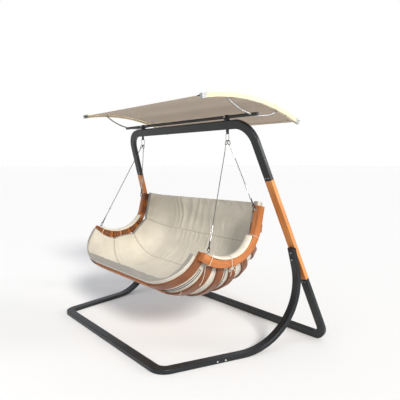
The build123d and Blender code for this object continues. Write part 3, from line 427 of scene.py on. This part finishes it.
def metal_material(name, colour, roughness, metallic=1.0, grain=160.0, wear=0.25):
    material, tree, shader = new_material(name, roughness, metallic)
    patch = noise_at(tree, None, grain, 3.0)
    cloudy = noise_at(tree, None, 9.0, 4.0)
    tone = calc(tree, "MULTIPLY_ADD", patch, 0.4, calc(tree, "MULTIPLY", cloudy, 0.6))
    dark = tuple(c * (1 - wear) for c in colour)
    light = tuple(min(1.0, c * (1 + wear)) for c in colour)
    tree.links.new(ramp(tree, tone, [(0.35, dark), (0.65, light)]), shader.inputs["Base Color"])
    tree.links.new(calc(tree, "MULTIPLY_ADD", tone, 0.22, roughness - 0.11), shader.inputs["Roughness"])
    add_bump(tree, shader, patch, 0.12, 0.0003)
    return material


def slat_grain(tree):
    """Along the slat's U and across its width; the slats are single bent boards."""
    along, out, x = seat_coords(tree)
    drop = calc(tree, "MAXIMUM", calc(tree, "SUBTRACT", out, UNDER), 0.0)
    reach = calc(tree, "ABSOLUTE", x)
    length = calc(tree, "SUBTRACT", reach, drop)
    return length, calc(tree, "MULTIPLY", calc(tree, "ADD", reach, drop), 0.25), along


def leg_grain(tree):
    """The posts lean in one plane: the grain runs along z, the layers across the face."""
    x, y, z = position(tree)
    front = calc(tree, "MULTIPLY_ADD", z, math.sin(LEG_LEAN), calc(tree, "MULTIPLY", y, math.cos(LEG_LEAN)))
    return z, calc(tree, "MULTIPLY_ADD", z, LEG_SPLAY, calc(tree, "ABSOLUTE", x)), front


def canopy_grain(tree):
    """Along the bowed arc, and through its layers, which follow the bow."""
    x, y, z = position(tree)
    return y, calc(tree, "MULTIPLY_ADD", calc(tree, "MULTIPLY", y, y), CANOPY_CURVE, z), x


ARC_WOOD = wood_material("side_arc_timber", seat_coords, (0.22, 0.060, 0.012), (0.44, 0.142, 0.031),
                         (0.60, 0.225, 0.062), 0.012)
SLAT_WOOD = wood_material("slat_timber", slat_grain, (0.19, 0.048, 0.010), (0.39, 0.120, 0.027),
                          (0.54, 0.190, 0.052), 0.5)
POST_WOOD = wood_material("post_timber", leg_grain, (0.38, 0.115, 0.022), (0.58, 0.210, 0.048),
                          (0.72, 0.310, 0.085), 0.0265)
CANOPY_WOOD = wood_material("canopy_timber", canopy_grain, (0.66, 0.53, 0.33), (0.76, 0.64, 0.43),
                            (0.84, 0.73, 0.53), 0.011)
# The frame's black paint carries a blue tint that is painted reflection of the sky seen on the side faces.
STEEL = metal_material("painted_steel", (0.0070, 0.0088, 0.0105), 0.33, 0.0, 420.0, 0.30)
STEEL.node_tree.nodes["Principled BSDF"].inputs["Specular IOR Level"].default_value = 0.40
BLACK = metal_material("black_fitting", (0.012, 0.012, 0.012), 0.42, 0.0, 300.0, 0.2)
ZINC = metal_material("zinc", (0.52, 0.52, 0.51), 0.33, 1.0, 220.0, 0.15)
SILVER = metal_material("silver", (0.40, 0.40, 0.40), 0.30, 1.0, 260.0, 0.10)
SEAT_CLOTH = cloth_material("seat_cloth", (0.58, 0.54, 0.46))
PAD_CLOTH = cloth_material("pad_cloth", (0.66, 0.61, 0.51))
CANOPY_CLOTH = cloth_material("canopy_cloth", (0.47, 0.385, 0.30), weave=0.0016, shade=0.05)
# The edge strip's grey is partly the boxing cloth's own tone and partly painted shade for the front lip.
STRIP_CLOTH_PAINTED_SHADE = cloth_material("seat_strip_cloth_painted_shade", (0.285, 0.267, 0.232))
SEAM = cloth_material("seam_thread", (0.30, 0.27, 0.22), weave=0.0008)
CORD = cloth_material("tie_cord", (0.66, 0.62, 0.54), weave=0.0015)
STRAP = cloth_material("webbing", (0.035, 0.034, 0.034), weave=0.002)


def rope_material():
    """Stranded steel rope in a smoky sleeve: slanted strands, with painted highlight on each strand's crown
    and painted shade in the grooves between them.
    """
    material, tree, shader = new_material("steel_rope", roughness=0.38, metallic=0.75)
    x, y, z = position(tree)
    twist = calc(tree, "SINE", calc(tree, "MULTIPLY_ADD", z, 900.0, calc(
        tree, "MULTIPLY", calc(tree, "ADD", x, y), 700.0
    )))
    # Painted shade and highlight: dark where the bump is low between strands, light where it is high.
    stops = [(0.2, (0.045, 0.045, 0.045)), (0.8, (0.17, 0.17, 0.165))]
    painted_strand_shade = ramp(tree, calc(tree, "MULTIPLY_ADD", twist, 0.5, 0.5), stops)
    tree.links.new(painted_strand_shade, shader.inputs["Base Color"])
    add_bump(tree, shader, twist, 0.6, 0.0004)
    return material


ROPE = rope_material()

NODE_MATERIALS = {
    STEEL: ["top_arch", "rear_base", "front_base", "side_sweep_left", "side_sweep_right"],
    BLACK: ["sweep_caps", "beam_caps", "shackles", "foot_sleeves", "tensioners", "canopy_beam", "hang_lugs",
            "canopy_clamps"],
    ZINC: ["post_tenons", "rail_sleeves", "frame_bolts", "post_screws", "clamp_screws", "stay_bolts",
           "eye_bolts", "slat_screws_left", "slat_screws_right", "snap_hook_left", "snap_hook_right",
           "snap_gate_left", "snap_gate_right", "turnbuckles", "top_sleeves", "crimp_tubes"],
    SILVER: ["arc_end_caps", "stay_arcs"],
    ROPE: ["cable_front_left", "cable_front_right", "cable_rear_left", "cable_rear_right"],
    ARC_WOOD: ["side_arc_left", "side_arc_right"],
    POST_WOOD: ["post_left", "post_right"],
    CANOPY_WOOD: ["canopy_arc_left", "canopy_arc_right"],
    SLAT_WOOD: [f"slat_{number}" for number in range(1, 9)],
    CORD: ["pad_ties_left", "pad_ties_right"],
    CANOPY_CLOTH: ["edge_cords"],
}
for material, names in NODE_MATERIALS.items():
    for name in names:
        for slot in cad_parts[name].material_slots:
            slot.material = material


# ---------------------------------------------------------------- loose cord ends
CORD_DIAMETER = 0.004
CORD_ROUTES = {
    "tie_end_front": [
        (0.958, -0.4455, 0.819), (0.957, -0.446, 0.79), (0.953, -0.4475, 0.757),
        (0.946, -0.45, 0.724), (0.936, -0.454, 0.692), (0.922, -0.459, 0.663),
        (0.905, -0.465, 0.639),
    ],
    "tie_end_low": [
        (0.752, -0.539, 0.565), (0.746, -0.5425, 0.549), (0.736, -0.546, 0.532),
        (0.724, -0.5485, 0.514), (0.711, -0.549, 0.498),
    ],
    "bow_end_1": [
        (1.012, -0.194, 0.767), (1.015, -0.197, 0.751), (1.014, -0.203, 0.733),
        (1.01, -0.207, 0.715), (1.008, -0.209, 0.698),
    ],
    "bow_end_2": [
        (1.012, -0.186, 0.767), (1.015, -0.177, 0.753), (1.014, -0.165, 0.741),
        (1.01, -0.155, 0.727), (1.006, -0.149, 0.71),
    ],
}
for name, route in CORD_ROUTES.items():
    points = [Vector((x, y + HANG_Y, z)) for x, y, z in route]
    cord = tube_along(name + "_cord", points, CORD_DIAMETER, CORD)
    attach(cord, SEAT)
    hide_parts(name)
    tuple(points[0])


# ---------------------------------------------------------------- seat cushion
SEAM_STATIONS = (0.225, 0.460, 0.690)
CUSHION_START = -0.042
CUSHION_END = ARC_LENGTH + 0.040
CUSHION_WIDE = 0.926     # half width at the rims
WALL_INNER_X = 0.872     # the sitter's side of the cushion's upright walls
INNER_BEND_TOP = 0.027
PANEL_EDGES = (CUSHION_START, *SEAM_STATIONS, CUSHION_END)
PANEL_ROWS = 22
END_STEP = 0.0015        # the first and last rows lie this close, which keeps the edges crisp
SWELL = 0.010
LIP_SWELL = 0.008
LIP_CRUMPLE = 0.0075
FOLD_DEPTH = 0.019
FOLD_PITCH = 0.110
PUCKER = 0.0026
UNEVEN = 0.0030
GROOVE_DEPTH = 0.011
GROOVE_HALF = 0.009
CUSHION_CELLS = (168, 5)    # across, and through the thickness
SEAM_DIAMETER = 0.0045
ZIP_DIAMETER = 0.007
ZIP_STATIONS = (0.075, 0.090, 0.318)


def bowl_drop(s):
    """How far the slats bow out below the side arcs at station s."""
    past = s - TAPER_START
    if past <= 0:
        return FULL_DROP
    if past <= TAPER_EASE:
        return FULL_DROP - TAPER * past ** 2 / (2 * TAPER_EASE)
    return FULL_DROP - TAPER * (past - TAPER_EASE / 2)


def on_circle(centre, radius, turn):
    return centre[0] + radius * math.sin(turn), centre[1] + radius * math.cos(turn)


def along_runs(runs, share):
    """runs: (length, place) pairs in order; the place at this share of their whole length."""
    left = share * sum(length for length, _ in runs)
    for length, place in runs[:-1]:
        if left <= length:
            return place(left / length)
        left -= length
    length, place = runs[-1]
    return place(left / length)


def inner_line(share, drop, rim):
    """From the middle of the seat (share 0) to its right rim (share 1), where people sit."""
    low = drop - SLAT_THICK - CUSHION_THICK
    radius = low - INNER_BEND_TOP
    centre = (WALL_INNER_X - radius, INNER_BEND_TOP)
    return along_runs([
        (centre[0], lambda t: (t * centre[0], low)),
        (radius * math.pi / 2, lambda t: on_circle(centre, radius, t * math.pi / 2)),
        (INNER_BEND_TOP - rim, lambda t: (WALL_INNER_X, INNER_BEND_TOP - t * (INNER_BEND_TOP - rim))),
    ], share)


def outer_line(share, drop, rim):
    """The same against the slats."""
    inset = SLAT_THICK + CUSHION_GAP
    shoulder = SHOULDER_RADIUS * drop / FULL_DROP
    hip = HIP_RADIUS * drop / FULL_DROP
    step = (hip - shoulder) * HALF_TURN
    high = (TAB_X - shoulder, 0)
    low = (high[0] - step, -step)
    eighth = math.pi / 4
    return along_runs([
        (low[0], lambda t: (t * low[0], low[1] + hip - inset)),
        ((hip - inset) * eighth, lambda t: on_circle(low, hip - inset, t * eighth)),
        ((shoulder - inset) * eighth, lambda t: on_circle(high, shoulder - inset, (1 + t) * eighth)),
        (-rim, lambda t: (TAB_X - inset, t * rim)),
    ], share)


def panel_share(s):
    """0 at a seam or an end of the cushion, 1 in the middle of a panel."""
    for low, high in zip(PANEL_EDGES, PANEL_EDGES[1:]):
        if s <= high:
            return max(0.0, math.sin(math.pi * (s - low) / (high - low)))
    return 0.0


def rim_height(s):
    """The side edge is scalloped: it stands up beside each panel and dips at each seam."""
    if s < SEAM_STATIONS[0]:
        return -0.018 + 0.028 * (s - CUSHION_START) / (SEAM_STATIONS[0] - CUSHION_START)
    if s > SEAM_STATIONS[-1]:
        return -0.016 + 0.016 * (1 - panel_share(s)) ** 4 * (s < 0.9)
    return 0.010 - 0.030 * panel_share(s) ** 0.6


def back_folds(x, s):
    """Soft upright folds in the left half of the back, and weaker ones to the right."""
    height = max(0.0, (s - SEAM_STATIONS[2]) / (CUSHION_END - SEAM_STATIONS[2]))
    left = math.exp(-((x + 0.36) / 0.28) ** 2)
    right = 0.35 * math.exp(-((x - 0.40) / 0.30) ** 2)
    slant = x - 0.45 * (s - SEAM_STATIONS[2]) * (1 + x)
    wave = math.sin(2 * math.pi * (slant / FOLD_PITCH + 1.1 * noise.noise((x * 4, s * 3, 0))))
    return (left + right) * wave * height ** 0.6 * FOLD_DEPTH


def seam_distance(s):
    return min(abs(s - seam) for seam in SEAM_STATIONS)


def creases(x, s):
    """Puckers along the seams, a crumpled front lip and slow unevenness over the panels."""
    pucker = PUCKER * math.exp(-seam_distance(s) / 0.030) * noise.noise((x * 26, s * 9, 2.0))
    near_lip = math.exp(-max(0.0, s - CUSHION_START - 0.02) / 0.030)
    lip = LIP_CRUMPLE * near_lip * noise.noise((x * 15, s * 22, 8.0))
    return pucker + lip + UNEVEN * noise.noise((x * 5.0, s * 6.0, 5.0))


def groove(s):
    """The depth of the sewn channel at station s."""
    return GROOVE_DEPTH * math.exp(-(seam_distance(s) / GROOVE_HALF) ** 2)


def cushion_point(across, s, depth, sink=0.0):
    """A point (x, out) of the cushion's cross-section at station s.

    across runs -1 to 1 between the rims, depth 0 to 1 from the sitter's side to the slats.
    """
    rim = rim_height(s)
    drop = bowl_drop(s)
    share = abs(across)
    side = 1 if across >= 0 else -1
    ix, iy = inner_line(share, drop, rim)
    ox, oy = outer_line(share, drop, rim)
    gap = math.hypot(ix - ox, iy - oy)
    swell = SWELL * panel_share(s) ** 0.5 * min(1.0, (1 - share) / 0.12 + 0.25)
    # The front lip is sewn square and stands a little proud.
    swell += LIP_SWELL * math.exp(-(s - CUSHION_START) / 0.020) * min(1.0, (1 - share) / 0.1)
    lift = (swell + creases(side * ix, s) + back_folds(side * ix, s) - groove(s)) * (1 - depth)
    x = ix + (ox - ix) * depth + (ix - ox) / gap * (lift - sink)
    out = iy + (oy - iy) * depth + (iy - oy) / gap * (lift - sink)
    return side * x, out


def cushion_rows():
    """Stations of the mesh rows: closest together beside the seams and at the ends."""
    rows = []
    for low, high in zip(PANEL_EDGES, PANEL_EDGES[1:]):
        for step in range(PANEL_ROWS):
            t = step / PANEL_ROWS
            eased = 0.5 - 0.5 * math.cos(math.pi * t)
            rows.append(low + (high - low) * (0.25 * t + 0.75 * eased))
    rows.insert(1, CUSHION_START + END_STEP)
    return rows + [CUSHION_END - END_STEP, CUSHION_END]


def cushion_mesh():
    """The cushion before it is puffed up, with the grid index of its vertices and its rows."""
    rows = cushion_rows()
    last = len(rows) - 1

    def place(a, b, c):
        s = rows[round(b * last)]
        across = 2 * a - 1
        x, out = cushion_point(across, s, c)
        lip = math.sin(math.pi * c)
        if b == 0:
            crumple = noise.noise((x * 11, out * 24, 1.0)) + 0.6 * noise.noise((x * 30, out * 18, 4.0))
            s -= (0.003 + 0.007 * crumple) * lip
        if a in (0.0, 1.0):
            out -= 0.007 * lip
        # The top edge climbs towards the right end and droops at the left.
        s += (0.012 * x / CUSHION_WIDE - 0.008) * b ** 6
        return seat_point(s, UNDER + out, x)

    columns, layers = CUSHION_CELLS
    points, faces, index = box_grid((columns, last, layers), place)
    cushion = mesh_object("cushion", points, faces, SEAT_CLOTH)
    # The strip round the cushion's edge is a greyer cloth, darkened further with painted shade for the
    # front lip, which faces away from the light.
    cushion.data.materials.append(STRIP_CLOTH_PAINTED_SHADE)
    places = {number: key for key, number in index.items()}
    edges = ((0, 0), (0, columns), (1, 0), (1, last))
    for face in cushion.data.polygons:
        keys = [places[vertex] for vertex in face.vertices]
        on_edge = any({key[axis] for key in keys} == {edge} for axis, edge in edges)
        face.material_index = 1 if on_edge else 0
    return cushion, index, rows


def seat_cushion():
    cushion, index, rows = cushion_mesh()
    columns, layers = CUSHION_CELLS
    seam_rows = {rows.index(seam) for seam in SEAM_STATIONS}
    # The edge strip, the sewn channels and the side against the slats stay where they are.
    pinned = [
        number for (i, j, k), number in index.items()
        if k >= layers - 1 or (k == 0 and j in seam_rows) or i in (0, columns) or j in (0, len(rows) - 1)
    ]
    puff(cushion, pinned, frames=20, pressure=1.6, growth=0.020, cap=0.022)
    subdivide(cushion)
    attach(cushion, SEAT)
    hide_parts("seat_cushion")


def cushion_line(name, s, steps, depth, sink, diameter, material):
    """A line across the cushion at station s, through the given shares of its half width."""
    points = []
    for across in steps:
        x, out = cushion_point(across, s, depth, sink)
        points.append(seat_point(s, UNDER + out, x))
    line = tube_along(name, points, diameter, material)
    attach(line, SEAT)


def seam_lines():
    """A row of stitching in each sewn channel."""
    steps = [0.994 * (step / 40 - 1) for step in range(81)]
    for number, seam in enumerate(SEAM_STATIONS, 1):
        cushion_line(f"cushion_seam_{number}", seam, steps, 0, 0.0, SEAM_DIAMETER, SEAM)


def zip_lines():
    """On the outer side: the two rows of a zip, and a dark strap, seen between the slats."""
    steps = [0.45 + 0.50 * step / 24 for step in range(25)]
    for number, s in enumerate(ZIP_STATIONS, 1):
        cushion_line(f"cushion_zip_{number}", s, steps, 1, 0.0015, ZIP_DIAMETER, STRAP)


def tie_knot(name, s, x, loops):
    """A knot under the right side arc.  loops: the reach (y, z) and width of each loop of a bow."""
    low = UNDER + 0.0045
    here = seat_point(s, low, x)
    turns = [
        here + Vector((0.007 * math.cos(a), 0.009 * math.cos(2 * a + 1), 0.006 * math.sin(a) - 0.003))
        for a in (k * math.pi / 4 for k in range(8))
    ]
    pieces = [tube_along(name, turns, CORD_DIAMETER, CORD, cyclic=True, order=4)]
    for number, (dy, dz, wide) in enumerate(loops, 1):
        axis = Vector((0.010, dy, dz))
        side = axis.cross(Vector((1, 0, 0))).normalized() * wide
        loop = [here, here + axis * 0.5 + side, here + axis + side * 0.6, here + axis - side * 0.6,
                here + axis * 0.5 - side]
        pieces.append(tube_along(f"{name}_loop_{number}", loop, CORD_DIAMETER, CORD, True, 4))
    for piece in pieces:
        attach(piece, SEAT)


seat_cushion()
seam_lines()
zip_lines()
BOW_LOOPS = ((0.050, -0.014, 0.015), (-0.044, -0.024, 0.013))
tie_knot("bow_knot", SLAT_FIRST + SLAT_PITCH * 5 / 2, ARC_X + 0.034, BOW_LOOPS)
tie_knot("front_knot", SLAT_FIRST + SLAT_PITCH / 2, ARC_X - 0.012, ())


# ---------------------------------------------------------------- arm pads
PAD_START = 0.075
PAD_END = 0.690
PAD_RUN = PAD_END - PAD_START
PAD_WIDE = 0.076
PAD_STRAIGHT = 0.375    # beyond this the pad has slipped towards the seat
PAD_DRIFT = 0.024
TIE_STATIONS = (SLAT_FIRST + SLAT_PITCH / 2, SLAT_FIRST + SLAT_PITCH * 5 / 2)


def pinch(s):
    """1 where a tie squeezes the pad, falling to 0 beside it."""
    return sum(math.exp(-((s - tie) / 0.022) ** 2) for tie in TIE_STATIONS)


def arm_pad(name, side):
    def place(a, b, c):
        s = PAD_START + b * PAD_RUN
        tight = pinch(s)
        end = min(b, 1 - b) * PAD_RUN
        taper = min(1.0, 0.45 + end / 0.045)
        crown = math.sin(math.pi * a) ** 0.6
        top = PAD_THICK * taper * (0.45 + 0.62 * crown - 0.28 * tight)
        half = (PAD_WIDE / 2) * (1 - 0.07 * tight - 0.10 * (1 - taper))
        bulge = 0.004 * math.sin(math.pi * c)
        slip = max(0.0, (s - PAD_STRAIGHT) / (PAD_END - PAD_STRAIGHT)) ** 1.5
        x = side * (ARC_X - PAD_DRIFT * slip) + (2 * a - 1) * (half + bulge)
        ripple = 0.0016 * noise.noise((x * 40, s * 30, side)) * (1 - c)
        return seat_point(s, -UNDER - PAD_GAP - (top + ripple) * (1 - c), x)

    points, faces, _ = box_grid((12, 96, 4), place)
    pad = mesh_object(name + "_cover", points, faces, PAD_CLOTH)
    subdivide(pad)
    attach(pad, SEAT)
    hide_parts(name)


for side_name, side in SIDES.items():
    arm_pad(f"arm_pad_{side_name}", side)


# ---------------------------------------------------------------- canopy
CANOPY_AXIS = Vector((0, HANG_Y, 2.070))
CANOPY_TILT = math.radians(-7)
HALF_CHORD = 0.582
SAGITTA = 0.092
CORNER_H = 0.050         # height of the arcs' ends over the beam
CANOPY_RADIUS = (HALF_CHORD ** 2 + SAGITTA ** 2) / (2 * SAGITTA)
HALF_ANGLE = math.asin(HALF_CHORD / CANOPY_RADIUS)
CENTRE_H = CORNER_H + SAGITTA - CANOPY_RADIUS
canopy_place = Matrix.Translation(CANOPY_AXIS) @ Matrix.Rotation(CANOPY_TILT, 4, "X")


def canopy_point(x, radius, angle):
    """A point on the canopy's arch at rest: across, from its centre line, and round it."""
    local = Vector((x, radius * math.sin(angle), CENTRE_H + radius * math.cos(angle)))
    return canopy_place @ local


CLOTH_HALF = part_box("canopy_fabric")[1][0]
CLOTH_BELOW = 0.012      # the cloth lies this far under the tops of the arcs
CLOTH_RADIUS = CANOPY_RADIUS - CLOTH_BELOW
CLOTH_ANGLE = HALF_ANGLE - 0.010 / CANOPY_RADIUS
EDGE_DRAW = 0.004        # how far the middle of a free edge is drawn in
HEM_WIDE = 0.028
HEM_INSET = 0.072        # a hem stops this far short of the cloth's sides
BAND_WIDE = 0.030


def canopy_cloth():
    """One sheet stretched between the two arcs, its free edges drawn in a little."""
    def place(a, b, c):
        across = 2 * a - 1
        x = across * (CLOTH_HALF - 0.004)
        slack = 1 - across * across
        angle = (2 * b - 1) * (CLOTH_ANGLE - EDGE_DRAW * slack / CANOPY_RADIUS)
        sag = 0.006 * slack * math.cos(math.pi * (b - 0.5))
        ripple = 0.0012 * noise.noise((x * 3.0, b * 5.0, 0)) * slack
        return canopy_point(x, CLOTH_RADIUS - sag - ripple - 0.0016 * c, angle)

    points, faces, _ = box_grid((96, 48, 1), place)
    cloth = mesh_object("canopy_sheet", points, faces, CANOPY_CLOTH)
    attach(cloth, CANOPY)
    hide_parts("canopy_fabric")
    hems = [canopy_hem(-1), canopy_hem(1)] + [side_hem(side) for side in SIDES.values()]


def canopy_hem(y):
    """The folded hem along a free edge, sewn round its edge cord."""
    def place(a, b, c):
        across = 2 * a - 1
        x = across * (CLOTH_HALF - HEM_INSET)
        slack = 1 - across * across
        inward = b * HEM_WIDE
        angle = y * (CLOTH_ANGLE - EDGE_DRAW * slack / CANOPY_RADIUS - inward / CANOPY_RADIUS)
        thick = 0.0036 + 0.0030 * math.exp(-(b / 0.35) ** 2)
        radius = CLOTH_RADIUS + 0.0008 - c * (thick + 0.001)
        return canopy_point(x, radius, angle)

    points, faces, _ = box_grid((72, 6, 1), place)
    hem = mesh_object("canopy_hem_front" if y < 0 else "canopy_hem_rear", points, faces, CANOPY_CLOTH)
    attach(hem, CANOPY)
    return hem


def side_hem(side):
    """A narrow doubled band where the cloth meets a timber arc."""
    def place(a, b, c):
        x = side * (CLOTH_HALF - 0.005 - a * BAND_WIDE)
        angle = (2 * b - 1) * (CLOTH_ANGLE - 0.012 / CANOPY_RADIUS)
        return canopy_point(x, CLOTH_RADIUS - 0.0012 - c * 0.0016, angle)

    points, faces, _ = box_grid((3, 48, 1), place)
    hem = mesh_object("canopy_side_left" if side < 0 else "canopy_side_right", points, faces, CANOPY_CLOTH)
    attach(hem, CANOPY)
    return hem


canopy_cloth()


# ---------------------------------------------------------------- stage and light
FLOOR_HALF = 120


def floor():
    material, tree, shader = new_material("floor_paint", roughness=0.75)
    tone = noise_at(tree, None, 3.0, 2.0)
    stops = [(0.3, (0.84, 0.84, 0.84)), (0.7, (0.87, 0.87, 0.87))]
    tree.links.new(ramp(tree, tone, stops), shader.inputs["Base Color"])
    corners = [(x * FLOOR_HALF, y * FLOOR_HALF, 0) for x, y in ((-1, -1), (1, -1), (1, 1), (-1, 1))]
    ground = mesh_object("floor", corners, [(0, 1, 2, 3)], material, smooth=False)


def lamp_object(name, kind, power, colour):
    data = bpy.data.lights.new(name, kind)
    data.energy = power
    data.color = colour
    lamp = bpy.data.objects.new(name, data)
    bpy.context.collection.objects.link(lamp)
    return lamp


def area_light(name, place, aim, power, size, colour):
    lamp = lamp_object(name, "AREA", power, colour)
    lamp.data.size = size
    lamp.location = place
    lamp.rotation_euler = (Vector(aim) - Vector(place)).to_track_quat("-Z", "Y").to_euler()


def sun_light(name, toward, strength, spread, colour):
    """Even light from one side; spread in degrees softens its shadows."""
    lamp = lamp_object(name, "SUN", strength, colour)
    lamp.data.angle = math.radians(spread)
    lamp.rotation_euler = Vector(toward).to_track_quat("Z", "Y").to_euler()


def studio():
    """A white backdrop for the camera; the surfaces get a softer light from it."""
    world = bpy.data.worlds.new("studio")
    bpy.context.scene.world = world
    world.use_nodes = True
    tree = world.node_tree
    sky = tree.nodes["Background"]
    sky.inputs[0].default_value = (0.93, 0.95, 1.0, 1)
    sky.inputs[1].default_value = 0.62
    white = tree.nodes.new("ShaderNodeBackground")
    white.inputs[0].default_value = (1, 1, 1, 1)
    seen = tree.nodes.new("ShaderNodeLightPath")
    mixed = tree.nodes.new("ShaderNodeMixShader")
    tree.links.new(seen.outputs["Is Camera Ray"], mixed.inputs[0])
    tree.links.new(sky.outputs[0], mixed.inputs[1])
    tree.links.new(white.outputs[0], mixed.inputs[2])
    tree.links.new(mixed.outputs[0], tree.nodes["World Output"].inputs[0])


floor()
sun_light("key", (5.8, -1.7, 3.7), 3.1, 14.0, (1.0, 0.97, 0.91))
# A weak light from behind gives the outer faces of the painted legs their sheen.
sun_light("sheen", (6.2, 7.1, 3.0), 0.9, 16.0, (1.0, 0.98, 0.95))
area_light("fill", (1.5, -6.5, 3.2), (0, 0, 0.9), 40, 4.0, (0.93, 0.96, 1.0))
studio()
